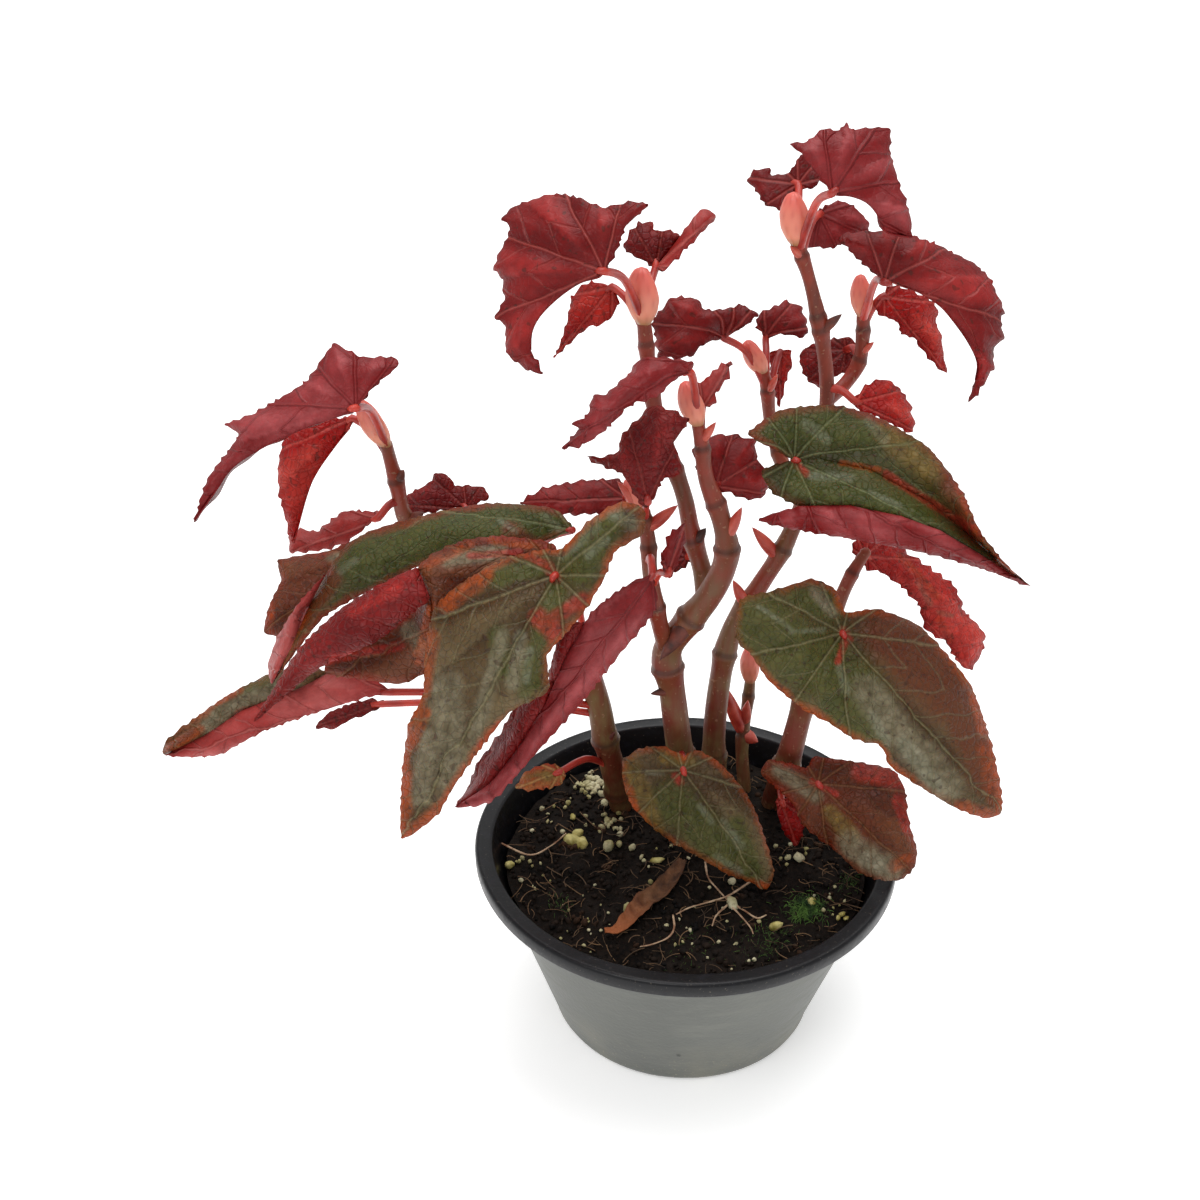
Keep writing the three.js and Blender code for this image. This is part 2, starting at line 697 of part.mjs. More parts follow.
    cane: ["right_top_cane", 799, 250], heel: [832, 193, 4], tip: [911, 238], tone: "mauve",
    panels: [{
      look: [0.3, -0.75, 0.6], bow: 3, centre: [858, 164, 2],
      fold: [14, 20], flap: [0.12, 0.97, -0.22, 15],
      outline: [
        [828, 188], [812, 168], [801, 153], [789, 144], [808, 141], [823, 129], [840, 130], [846, 122],
        [852, 129], [889, 128], [890, 150], [897, 176], [910, 214], [912, 232], [911, 238], [886, 232],
        [877, 214], [866, 202], [850, 196], [836, 195],
      ],
    }],
  },
  top_right_left_leaf: {
    cane: ["right_top_cane", 799, 246], heel: [798, 184, 36], tip: [748, 178], tone: "red",
    panels: [{
      look: [-0.2, -0.8, 0.5], bow: 2, centre: [780, 188, 36],
      outline: [
        [800, 190], [790, 198], [782, 210], [764, 203], [757, 192], [748, 181], [754, 170], [769, 169],
        [772, 175], [790, 172], [797, 160], [803, 155], [820, 176], [814, 188],
      ],
    }],
  },
  top_right_back_leaf: {
    cane: ["right_top_cane", 801, 254], heel: [820, 214, 44], tip: [866, 234], tone: "mauve",
    panels: [{
      look: [0.2, -0.85, 0.4], bow: 2.5, centre: [838, 224, 46],
      outline: [
        [822, 208], [838, 201], [852, 205], [868, 221], [868, 232], [846, 241], [832, 248], [806, 246],
        [808, 234], [813, 218],
      ],
    }],
  },
  right_crown_leaf: {
    cane: ["right_side_shoot", 864, 318], heel: [884, 282, 20], tip: [968, 402], tone: "red",
    panels: [{
      look: [0.35, -0.75, 0.55], bow: 4, centre: [936, 276, 10],
      fold: [19, 26], flap: [0.24, 0.93, -0.28, 14],
      outline: [
        [878, 276], [862, 263], [846, 247], [839, 236], [868, 231], [903, 234], [934, 243], [970, 261],
        [979, 267], [990, 278], [998, 296], [1004, 309], [1001, 323], [1004, 338], [994, 348], [994, 366],
        [984, 384], [976, 396], [968, 402, -2], [975, 380], [977, 362], [968, 342], [954, 322], [940, 306],
        [920, 293], [898, 285],
      ],
    }],
  },
  right_crown_young_leaf: {
    cane: ["right_side_shoot", 864, 324], heel: [884, 296, 42], tip: [946, 373], tone: "bright",
    panels: [{
      look: [0.3, -0.85, 0.4], bow: 2, centre: [912, 312, 40],
      outline: [
        [884, 292], [894, 285], [928, 298], [938, 310], [936, 323], [941, 334], [943, 350], [946, 373],
        [932, 362], [912, 337], [901, 334], [897, 322], [878, 314], [876, 304],
      ],
    }],
  },
  right_shoot_back_leaf: {
    cane: ["right_side_shoot", 858, 360], heel: [846, 350, 56], tip: [804, 384], tone: "dark",
    panels: [{
      look: [-0.1, -0.85, 0.5], bow: 2, centre: [830, 358, 56],
      outline: [
        [850, 337], [857, 348], [855, 362], [846, 372], [830, 378], [821, 388], [806, 378], [799, 356],
        [812, 344], [830, 340],
      ],
    }],
  },
  right_shoot_low_leaf: {
    cane: ["right_top_cane", 829, 388], heel: [856, 402, 26], tip: [913, 430], tone: "bright",
    panels: [{
      look: [0.2, -0.7, 0.65], bow: 3, centre: [884, 400, 26],
      outline: [
        [853, 399], [868, 385], [880, 379], [894, 384], [905, 395], [911, 408], [914, 432], [895, 426],
        [875, 416], [857, 409],
      ],
    }],
  },
  centre_upright_leaf: {
    cane: ["short_cane", 645, 520], heel: [648, 502, -10], tip: [688, 419], tone: "dark",
    panels: [{
      look: [-0.25, -0.9, 0.3], bow: 4, centre: [645, 460, -14],
      outline: [
        [648, 507], [640, 504], [623, 475], [602, 466], [586, 456], [604, 457], [619, 450], [621, 436],
        [643, 414], [650, 406], [666, 408], [688, 419], [683, 430], [674, 441], [678, 455], [680, 474],
        [664, 479], [657, 492],
      ],
    }],
  },
  centre_folded_leaf: {
    cane: ["middle_cane", 712, 485], heel: [716, 486, 12], tip: [766, 494], tone: "red",
    panels: [{
      look: [0.2, -0.8, 0.55], bow: 4, centre: [734, 466, 14],
      outline: [
        [712, 488], [702, 480], [693, 452], [704, 440], [720, 434], [752, 439], [757, 455], [766, 478],
        [766, 494], [750, 500], [730, 493],
      ],
    }],
  },
  back_left_leaf: {
    cane: ["left_cane", 440, 548], heel: [466, 508, 28], tip: [400, 506], tone: "dark",
    panels: [{
      look: [-0.1, -0.7, 0.7], bow: 2, centre: [445, 496, 28],
      outline: [
        [472, 506], [449, 509], [415, 515], [400, 506], [412, 492], [426, 485], [438, 473], [449, 476],
        [454, 485], [483, 487], [489, 497],
      ],
    }],
  },
  back_centre_leaf: {
    cane: ["short_cane", 648, 530], heel: [626, 498, 20], tip: [521, 502], tone: "red",
    panels: [{
      look: [0, -0.7, 0.7], bow: 2, centre: [580, 498, 20],
      outline: [
        [632, 500], [610, 513], [550, 514], [521, 503], [540, 490], [560, 484], [590, 480], [615, 479],
        [634, 488],
      ],
    }],
  },
  right_ruffled_leaf: {
    cane: ["right_cane", 848, 582], heel: [866, 556, 26], tip: [970, 670], tone: "bright",
    panels: [{
      look: [0.4, -0.75, 0.5], bow: 2, centre: [918, 584, 24],
      outline: [
        [855, 556], [852, 543], [870, 538], [901, 549], [936, 572], [956, 588], [964, 611], [984, 632],
        [982, 652], [970, 670], [956, 660], [946, 642], [926, 630], [919, 606], [903, 588], [884, 574],
        [866, 568],
      ],
    }],
  },
  soil_centre_leaf: {
    cane: ["middle_cane", 683, 755], heel: [683, 770, -2], tip: [766, 890], tone: "olive",
    panels: [{
      look: [0.05, -0.65, 0.75], bow: 4,
      outline: [
        [684, 757], [693, 750], [712, 757], [727, 770], [743, 789], [754, 808], [764, 835], [774, 872],
        [766, 890], [750, 882], [727, 874], [704, 860], [673, 843], [650, 825], [631, 804], [623, 781],
        [623, 760], [640, 749], [660, 746], [677, 752],
      ],
    }],
  },
  soil_right_leaf: {
    cane: ["right_cane", 782, 776], heel: [818, 784, -2], tip: [912, 872], tone: "brown",
    panels: [{
      look: [0.05, -0.65, 0.75], bow: 4,
      outline: [
        [806, 768], [815, 757], [858, 762], [893, 770], [905, 790], [909, 822], [917, 850], [914, 868],
        [900, 880], [880, 880], [858, 872], [839, 854], [816, 836], [802, 824], [793, 804], [777, 789],
        [761, 774], [768, 760], [790, 763],
      ],
    }],
  },
  soil_sprout_leaf: {
    cane: ["right_cane", 776, 790], heel: [782, 802, 6], tip: [796, 846], tone: "bright",
    panels: [{
      look: [0.2, -0.85, 0.5], bow: 1, centre: [790, 818, 4],
      outline: [[776, 800], [790, 799], [801, 815], [803, 834], [796, 846], [784, 832], [778, 815]],
    }],
  },
  soil_left_leaf: {
    cane: ["left_cane", 613, 768], heel: [560, 772, 0], tip: [516, 788], tone: "yellow",
    panels: [{
      look: [-0.2, -0.7, 0.65], bow: 1, centre: [541, 778, 0],
      outline: [
        [563, 768], [563, 783], [545, 789], [528, 790], [516, 788], [522, 776], [535, 767], [550, 764],
      ],
    }],
  },
  low_left_sprout_leaf: {
    cane: ["left_cane", 601, 715], heel: [382, 704, 8], via: [500, 702, 12], tip: [316, 726], tone: "dark",
    panels: [{
      look: [-0.1, -0.7, 0.7], bow: 1, centre: [350, 712, 8],
      outline: [
        [384, 702], [372, 712], [350, 720], [334, 729], [316, 726], [330, 712], [350, 704], [370, 699],
      ],
    }],
  },
  inner_back_leaf: {
    cane: ["upper_left_cane", 696, 556], heel: [688, 557, 41], tip: [660, 562], tone: "dark",
    panels: [{
      look: [-0.1, -0.85, 0.5], bow: 1, centre: [678, 556, 40],
      outline: [[692, 560], [676, 572], [660, 562], [668, 545], [684, 539], [693, 548]],
    }],
  },
  inner_dark_leaf: {
    cane: ["short_cane", 652, 585], heel: [668, 574, -6], tip: [684, 528], tone: "red",
    panels: [{
      look: [0.1, -0.95, 0.2], bow: 1, centre: [674, 552, -8],
      outline: [[664, 574], [664, 556], [668, 536], [684, 524], [684, 544], [678, 562], [672, 576]],
    }],
  },
};

function onPlane([across, down], middle, look) {
  const ray = sightLine(across, down);
  return EYE.clone().addScaledVector(ray, middle.clone().sub(EYE).dot(look) / ray.dot(look));
}

function planeOf(leaf, panel) {
  return [place(panel.centre ?? leaf.heel), new THREE.Vector3(...panel.look).normalize()];
}

function cornerOf(leaf, panel, spot) {
  return spot.length === 3 ? place(spot) : onPlane(spot, ...planeOf(leaf, panel));
}

// Twice the area of a triangle of the view: above zero if it turns clockwise.
function turn(a, b, c) {
  return (b[0] - a[0]) * (c[1] - a[1]) - (c[0] - a[0]) * (b[1] - a[1]);
}

function middleOf(outline) {
  let area = 0;
  const sum = [0, 0];
  for (let i = 0; i < outline.length; i++) {
    const a = outline[i];
    const b = outline[(i + 1) % outline.length];
    const part = a[0] * b[1] - b[0] * a[1];
    area += part;
    sum[0] += (a[0] + b[0]) * part;
    sum[1] += (a[1] + b[1]) * part;
  }
  return [sum[0] / (3 * area), sum[1] / (3 * area)];
}

// Whether straight lines from a spot reach the whole outline from inside.
function seesAll(spot, outline) {
  const sides = outline.map((a, i) => turn(spot, a, outline[(i + 1) % outline.length]));
  return sides.every((side) => side > HUB_ROOM) || sides.every((side) => side < -HUB_ROOM);
}

// One panel: its outline, and a swell between the outline and the stalk's
// foot, or in the middle where the foot is at the edge.
function panelSolid(leaf, panel, away) {
  const spots = panel.outline.map(([across, down]) => [across, down]);
  const front = panel.outline.map((spot) => cornerOf(leaf, panel, spot));
  const n = spots.length;
  const heel = leaf.heel.slice(0, 2);
  const hub = [heel, middleOf(spots)].find((spot) => seesAll(spot, spots));
  let faces = [];
  if (hub) {
    const top = onPlane(hub, ...planeOf(leaf, panel));
    const lift = hub === heel ? [panel.bow, 0] : [RING_LIFT * panel.bow, panel.bow];
    for (let i = 0; i < n; i++) {
      spots.push([(spots[i][0] + hub[0]) / 2, (spots[i][1] + hub[1]) / 2]);
      front.push(front[i].clone().lerp(top, 0.5).addScaledVector(away, -lift[0]));
    }
    spots.push(hub);
    front.push(top.addScaledVector(away, -lift[1]));
    for (let i = 0; i < n; i++) {
      const j = (i + 1) % n;
      faces.push([i, j, n + j], [i, n + j, n + i], [n + i, n + j, 2 * n]);
    }
  } else {
    faces = THREE.ShapeUtils.triangulateShape(spots.map(([x, y]) => new THREE.Vector2(x, y)), []);
  }
  const turnsBack = ([a, b, c]) => turn(spots[a], spots[b], spots[c]) > 0;
  faces = faces.map(([a, b, c]) => (turnsBack([a, b, c]) ? [a, c, b] : [a, b, c]));
  const m = front.length;
  const under = front.map((p) => p.clone().addScaledVector(away, LEAF_THICK));
  const closed = [...faces, ...faces.map(([a, b, c]) => [c + m, b + m, a + m])];
  const forward = turnOf(spots.slice(0, n)) < 0;
  for (let i = 0; i < n; i++) {
    const [a, b] = forward ? [i, (i + 1) % n] : [(i + 1) % n, i];
    closed.push([b, a, a + m], [b, a + m, b + m]);
  }
  return toSolid(fromLists([...front, ...under], closed));
}

function turnOf(outline) {
  let total = 0;
  for (let i = 1; i < outline.length - 1; i++) total += turn(outline[0], outline[i], outline[i + 1]);
  return total;
}

// The hidden half of a folded leaf: a strip that hangs from the fold.
function flapSolid(leaf, panel, away) {
  const [first, last] = panel.fold;
  const [dx, dy, dz, width] = panel.flap;
  const hang = new THREE.Vector3(dx, dy, dz).normalize();
  const edge = [];
  for (let i = first; i <= last; i++) {
    edge.push(cornerOf(leaf, panel, panel.outline[i % panel.outline.length]));
  }
  const across = edge[edge.length - 1].clone().sub(edge[0]);
  const inward = across.cross(hang).normalize();
  const toMiddle = onPlane(middleOf(panel.outline), ...planeOf(leaf, panel)).sub(edge[0]);
  if (inward.dot(toMiddle) < 0) inward.negate();
  const points = [];
  const rows = edge.length;
  for (const skin of [0, LEAF_THICK]) {
    edge.forEach((p, i) => {
      const along = FLAP_FROM + (FLAP_TO - FLAP_FROM) * (i / (rows - 1));
      const full = width * Math.sin(Math.PI * along) ** FLAP_ROUND;
      for (const share of [0, 0.5, 1]) {
        const q = p.clone().addScaledVector(away, LEAF_THICK / 2);
        q.addScaledVector(hang, full * share).addScaledVector(inward, skin + FLAP_INSET);
        q.z -= FLAP_SAG * full * share * share;
        points.push(q);
      }
    });
  }
  const size = rows * 3;
  const faces = [];
  for (let i = 0; i < rows - 1; i++) {
    for (let j = 0; j < 2; j++) {
      const a = i * 3 + j;
      faces.push([a, a + 1, a + 4], [a, a + 4, a + 3]);
      faces.push([a + size + 4, a + size + 1, a + size], [a + size + 3, a + size + 4, a + size]);
    }
  }
  const rim = [0, 1, 2];
  for (let i = 1; i < rows; i++) rim.push(i * 3 + 2);
  rim.push((rows - 1) * 3 + 1);
  for (let i = rows - 1; i > 0; i--) rim.push(i * 3);
  rim.forEach((a, k) => {
    const b = rim[(k + 1) % rim.length];
    faces.push([b, a, a + size], [b, a + size, b + size]);
  });
  const solid = toSolid(fromLists(points, faces));
  if (solid.volume() > 0) return solid;
  const turned = faces.map(([a, b, c]) => [c, b, a]);
  return toSolid(fromLists(points, turned));
}

// Where the stalk meets the blade, and the panel that it meets.
function footOf(leaf) {
  const [across, down] = leaf.heel;
  for (const panel of leaf.panels) {
    const own = panel.outline.find(([x, y, depth]) => x === across && y === down && depth !== undefined);
    if (own) return [place(own), panel];
  }
  return [cornerOf(leaf, leaf.panels[0], [across, down]), leaf.panels[0]];
}

// The stalk starts square to the cane, beside it, and ends inside the blade.
function stalk(leaf, away) {
  const near = nearCane(canes[leaf.cane[0]], leaf.cane[1], leaf.cane[2]);
  const [foot, panel] = footOf(leaf);
  const inward = onPlane(middleOf(panel.outline), ...planeOf(leaf, panel)).sub(foot).normalize();
  const end = foot.clone().addScaledVector(inward, STALK_GRIP).addScaledVector(away, LEAF_THICK / 2);
  const behind = foot.clone().addScaledVector(away, LEAF_THICK + STALK_R * STALK_SINK);
  const way = leaf.via ? place(leaf.via) : behind;
  const off = way.clone().sub(near.point);
  off.addScaledVector(near.along, -off.dot(near.along)).normalize();
  const start = near.point.clone().addScaledVector(off, near.radius + SEAT_GAP);
  const points = [start, start.clone().addScaledVector(off, STEP_OUT)];
  if (leaf.via) points.push(way);
  points.push(behind, end);
  const radii = points.map(() => STALK_R);
  radii[radii.length - 1] = STALK_R * STALK_TIP;
  const [line, size] = smooth(points, radii, TUBE_SPLITS);
  return toSolid(tube(line, size, STALK_SIDES));
}

for (const [name, leaf] of Object.entries(LEAVES)) {
  const away = footOf(leaf)[0].sub(EYE).normalize();
  const parts = leaf.panels.map((panel) => panelSolid(leaf, panel, away));
  for (const panel of leaf.panels) {
    if (panel.flap) parts.push(flapSolid(leaf, panel, away));
  }
  parts.push(stalk(leaf, away));
  for (const part of parts) {
    if (part.volume() <= 0) throw new Error(`${name} turned inside out`);
  }
  const whole = wasm.Manifold.union(parts).simplify(SLIVER);
  addMesh(name, toGeometry(largest(whole)), leaf.tone);
}

// ---- soil ----
// It fills the pot to under the rim. Its flat top falls a little at the wall,
// its underside follows the floor's channel, and it is bored for the canes.
function soil() {
  const lowR = POT_TURN_R - POT_WALL;
  const lip = POT_RIM_R - POT_RIM_BAND;
  const rise = POT_HEIGHT - POT_LIP_ROUND - POT_INSIDE_LOW;
  const sideAt = (z) => lowR + ((lip - lowR) * (z - POT_INSIDE_LOW)) / rise - SOIL_WALL_GAP;
  const padBottom = POT_FLOOR + SOIL_GAP;
  const bottom = POT_CHANNEL_RISE + padBottom;
  const profile = [
    [0, padBottom],
    [POT_PAD_R - POT_CHANNEL_SLOPE, padBottom],
    [POT_PAD_R, bottom],
    [POT_CHANNEL_R - SOIL_WALL_GAP, bottom],
    [sideAt(POT_INSIDE_LOW + SOIL_EDGE), POT_INSIDE_LOW + SOIL_EDGE],
    [sideAt(SOIL_Z - SOIL_EDGE), SOIL_Z - SOIL_EDGE],
    [sideAt(SOIL_Z) - SOIL_EDGE, SOIL_Z - SOIL_EDGE / 3],
    [POT_BASE_R, SOIL_Z],
    [0, SOIL_Z],
  ].map(([r, z]) => new THREE.Vector2(r, z));
  let solid = toSolid(new THREE.LatheGeometry(profile, SOIL_SIDES).rotateX(Math.PI / 2));
  for (const { line, size, rooted } of Object.values(canes)) {
    if (!rooted) continue;
    const bore = [line[0].clone().setZ(line[0].z - 2 * SEAT_GAP), ...line.slice(0, 6)];
    const radii = [size[0], ...size.slice(0, 6)].map((r) => r + SEAT_GAP);
    solid = solid.subtract(toSolid(tube(bore, radii, CANE_SIDES)));
  }
  return largest(solid);
}

addMesh("soil", toGeometry(soil()), "soil");
addMesh("pot", toGeometry(pot()), "pot");

export default plant;
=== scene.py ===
import math
import random

import bpy
import numpy as np
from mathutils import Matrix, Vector, noise
from mathutils.geometry import delaunay_2d_cdt


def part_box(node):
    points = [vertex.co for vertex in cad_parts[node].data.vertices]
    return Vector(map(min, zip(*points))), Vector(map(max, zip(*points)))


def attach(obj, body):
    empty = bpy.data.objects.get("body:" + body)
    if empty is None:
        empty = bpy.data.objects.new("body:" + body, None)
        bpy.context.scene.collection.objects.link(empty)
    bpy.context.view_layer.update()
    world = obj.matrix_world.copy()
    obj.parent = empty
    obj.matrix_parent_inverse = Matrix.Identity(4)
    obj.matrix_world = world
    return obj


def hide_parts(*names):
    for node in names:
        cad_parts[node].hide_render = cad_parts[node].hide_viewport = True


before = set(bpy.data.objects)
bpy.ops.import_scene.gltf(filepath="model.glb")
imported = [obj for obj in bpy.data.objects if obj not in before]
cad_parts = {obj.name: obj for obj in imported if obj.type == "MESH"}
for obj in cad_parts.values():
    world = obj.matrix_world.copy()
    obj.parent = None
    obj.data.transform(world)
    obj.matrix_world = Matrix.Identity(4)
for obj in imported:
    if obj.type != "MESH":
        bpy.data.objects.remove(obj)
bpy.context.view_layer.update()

# ---- The view ----
# The eye stands in front of the plant, a little above its top, and looks down
# at it. Spots of the view are [across, down] in a frame of 1200 by 1200.
MM = 0.001
EYE = np.array([-0.031, -0.483, 0.464])
PITCH = math.radians(31)
FOCUS = 1700
FRAME_SIZE = 1200
SENSOR = 36

scene = bpy.context.scene
scene.view_settings.view_transform = "Standard"
camera_data = bpy.data.cameras.new("camera")
camera_data.sensor_width = SENSOR
camera_data.lens = SENSOR * FOCUS / FRAME_SIZE
camera = bpy.data.objects.new("camera", camera_data)
camera.location = EYE
camera.rotation_euler = (math.radians(90) - PITCH, 0, 0)
scene.collection.objects.link(camera)
scene.camera = camera


def sight(spots):
    """The directions in which the eye sees some spots of the view."""
    spots = np.asarray(spots, float)
    across = (spots[..., 0] - FRAME_SIZE / 2) / FOCUS
    down = (spots[..., 1] - FRAME_SIZE / 2) / FOCUS
    level = math.cos(PITCH) - down * math.sin(PITCH)
    fall = -math.sin(PITCH) - down * math.cos(PITCH)
    return np.stack([across, level, fall], -1)


def place(spots):
    """Points seen at [across, down] whose depth behind the pot's centre is the third number, in mm."""
    spots = np.asarray(spots, float)
    rays = sight(spots)
    reach = (spots[..., 2] * MM - EYE[1]) / rays[..., 1]
    return EYE + rays * reach[..., None]


def seen_at(points):
    """Where the eye sees some points: the reverse of place."""
    off = np.asarray(points, float) - EYE
    ahead = off[..., 1] * math.cos(PITCH) - off[..., 2] * math.sin(PITCH)
    up = off[..., 1] * math.sin(PITCH) + off[..., 2] * math.cos(PITCH)
    return np.stack([off[..., 0] / ahead, -up / ahead], -1) * FOCUS + FRAME_SIZE / 2


# ---- Pot ----
# A shallow nursery pot, moulded in one piece of thin black plastic: a flat
# band round the mouth with a turned-down lip, and a wall that narrows to a
# round-cornered foot. Handling and dust have greyed its outside.
RIM_R = 76
HEIGHT = 74
RIM_BAND = 6.4
RIM_DROP = 5
WALL = 1.6
FLOOR = 1.8
BASE_R = 47.5
CORNER_R = 5
NECK_R = 69.6
DRAINS = 6
DRAIN_R = 5
DRAIN_RING_R = 32.5
PAD_R = 22
CHANNEL_OUT_R = 43
CHANNEL_RISE = 2.6
POT_SIDES = 144


def rgb(red, green, blue):
    """A colour given as it looks on a screen, 0 to 255, as the light it gives back."""
    straight = 10  # below this the curve is a straight line
    light = [
        ((c / 255 + 0.055) / 1.055) ** 2.4 if c > straight else c / (255 * 12.92)
        for c in (red, green, blue)
    ]
    return (*light, 1)


class Wire:
    """One output in a material's nodes. Sums on wires add Math nodes."""

    def __init__(self, paint, socket):
        self.paint = paint
        self.socket = socket

    def math(self, operation, *values):
        """One Math node, for what no sign stands for."""
        return self.paint.node("ShaderNodeMath", {"operation": operation}, dict(enumerate(values)))

    def __add__(self, other):
        return self.math("ADD", self, other)

    def __radd__(self, other):
        return self.math("ADD", other, self)

    def __sub__(self, other):
        return self.math("SUBTRACT", self, other)

    def __rsub__(self, other):
        return self.math("SUBTRACT", other, self)

    def __mul__(self, other):
        return self.math("MULTIPLY", self, other)

    def __rmul__(self, other):
        return self.math("MULTIPLY", other, self)

    def __pow__(self, other):
        return self.math("POWER", self, other)

    def __abs__(self):
        return self.math("ABSOLUTE", self)


class Paint:
    """One material. Its fixed numbers are given by socket name."""

    def __init__(self, name, fixed):
        self.material = bpy.data.materials.new(name)
        self.material.use_nodes = True
        self.tree = self.material.node_tree
        self.shader = self.tree.nodes["Principled BSDF"]
        for socket, value in fixed.items():
            self.shader.inputs[socket].default_value = value

    def node(self, kind, settings=None, sockets=None, out=0):
        """A node with its settings, and wires or numbers on its sockets; gives one output."""
        node = self.tree.nodes.new(kind)
        for key, value in (settings or {}).items():
            setattr(node, key, value)
        for key, value in (sockets or {}).items():
            if isinstance(value, Wire):
                self.tree.links.new(value.socket, node.inputs[key])
            else:
                node.inputs[key].default_value = value
        return Wire(self, node.outputs[out])

    def spot(self):
        """Where a point is on the object, in metres."""
        return self.node("ShaderNodeTexCoord", out=3)

    def part(self, vector, axis):
        """One of a vector's three numbers."""
        return self.node("ShaderNodeSeparateXYZ", None, {0: vector}, axis)

    def trait(self, name):
        """A number that the mesh holds at each of its points."""
        return self.node("ShaderNodeAttribute", {"attribute_name": name}, None, 2)

    def noise(self, scale, detail=3, vector=None):
        """Clouds from 0 to 1, so many to the metre."""
        sockets = {"Vector": vector or self.spot(), "Scale": scale, "Detail": detail}
        return self.node("ShaderNodeTexNoise", None, sockets)

    def clouds(self, scale, detail, low, high):
        """Clouds that go from 0 where the noise is low to 1 where it is high."""
        return self.ease(self.noise(scale, detail), low, high)

    def ease(self, value, low, high):
        """0 where value is at low, 1 where it is at high."""
        sockets = {"Value": value, "From Min": low, "From Max": high}
        return self.node("ShaderNodeMapRange", None, sockets)

    def mix(self, factor, first, second):
        """The first colour where factor is 0, the second where it is 1."""
        return self.node("ShaderNodeMix", {"data_type": "RGBA"}, {0: factor, 6: first, 7: second}, 2)

    def feed(self, **wires):
        """Joins wires to the shader's sockets, named with _ for a space."""
        for name, wire in wires.items():
            self.tree.links.new(wire.socket, self.shader.inputs[name.replace("_", " ")])

    def bump(self, height, distance, strength):
        """Raises the surface by a wire's height, in the look alone."""
        sockets = {"Height": height, "Distance": distance, "Strength": strength}
        self.feed(Normal=self.node("ShaderNodeBump", None, sockets))


def new_piece(name, points, faces, materials, which=None, sharp=None):
    """A smooth mesh piece that rides with the plant.

    which gives each face's material, and sharp the angle from which an edge stays crisp.
    """
    mesh = bpy.data.meshes.new(name)
    mesh.from_pydata([tuple(p) for p in points], [], faces)
    for material in materials:
        mesh.materials.append(material)
    if which is not None:
        mesh.polygons.foreach_set("material_index", which)
    mesh.shade_smooth()
    if sharp:
        mesh.set_sharp_from_angle(angle=math.radians(sharp))
    piece = bpy.data.objects.new(name, mesh)
    scene.collection.objects.link(piece)
    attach(piece, "root")
    return piece


def ring_band(low, high, sides):
    """Quads between two rings of points, given each ring's first point."""
    pairs = [(i, (i + 1) % sides) for i in range(sides)]
    return [(low + i, low + j, high + j, high + i) for i, j in pairs]


def round_spots(count, half_turns=0.0):
    """Directions evenly round a circle, as (cosine, sine)."""
    turns = [2 * math.pi * (i + half_turns) / count for i in range(count)]
    return [(math.cos(turn), math.sin(turn)) for turn in turns]


lip = RIM_R - RIM_BAND
under_rim = HEIGHT - RIM_DROP
turn_r = BASE_R + CORNER_R / 4
BODY_ROWS = 14
CORNER_TURNS = [18, 36, 54, 72, 86]
corner = [
    (turn_r - CORNER_R * (1 - math.sin(a)), CORNER_R * (1 - math.cos(a)))
    for a in np.radians(CORNER_TURNS)
]
body_wall = [
    (turn_r + (NECK_R - turn_r) * t, CORNER_R + (under_rim - CORNER_R) * t)
    for t in np.linspace(0, 1, BODY_ROWS + 1)[1:]
]
rim_outside = [
    (RIM_R - WALL - 0.4, under_rim + 0.3),
    (RIM_R - WALL, under_rim - 0.2),
    (RIM_R - WALL + 0.3, under_rim - 0.6),
    (RIM_R - 0.4, under_rim - 0.6),
    (RIM_R, under_rim),
    (RIM_R, HEIGHT - 1.5),
    (RIM_R - 0.25, HEIGHT - 0.7),
    (RIM_R - 0.8, HEIGHT - 0.15),
    (RIM_R - 1.5, HEIGHT),
    (RIM_R - 2.4, HEIGHT - 0.25),
    (lip + 1.2, HEIGHT - 0.2),
    (lip + 0.4, HEIGHT - 0.5),
    (lip, HEIGHT - 1.2),
]
inside_low = CORNER_R + 0.8
inside = [
    (turn_r - WALL + (lip - turn_r + WALL) * t, inside_low + (HEIGHT - 1.8 - inside_low) * t)
    for t in np.linspace(1, 0, BODY_ROWS + 1)[1:]
]
channel_top = CHANNEL_RISE + FLOOR
shell = [(CHANNEL_OUT_R - 1.5, CHANNEL_RISE), (CHANNEL_OUT_R, 0), (CHANNEL_OUT_R + 1, 0)]
shell += corner + body_wall
outer_rows = len(shell)
shell += rim_outside + inside + [(CHANNEL_OUT_R, channel_top)]

pot_points = []
pot_faces = []
pot_which = []
SWAY = 0.35
DENTS = 0.5
LOW_ZONE = 12
OUTSIDE, BLACK = 0, 1


def pot_row(radius, height):
    """One ring of points round the pot, a little out of true."""
    first = len(pot_points)
    for across, deep in round_spots(POT_SIDES):
        out = Vector((across, deep, 0))
        sway = noise.noise(out * 1.7 + Vector((0, 0, height * 0.03))) * SWAY * min(1, height / 10)
        dip = max(0, noise.noise(out * 4.1)) * DENTS * max(0, 1 - height / LOW_ZONE)
        at = out * (radius + sway)
        pot_points.append(Vector((at.x, at.y, height + dip)) * MM)
    return first


def pot_chain(rows, which):
    """Joins rings one after another and returns where each one starts."""
    starts = [pot_row(*row) for row in rows]
    for k, (low, high) in enumerate(zip(starts, starts[1:])):
        pot_faces.extend(ring_band(low, high, POT_SIDES))
        pot_which.extend([which(k)] * POT_SIDES)
    return starts


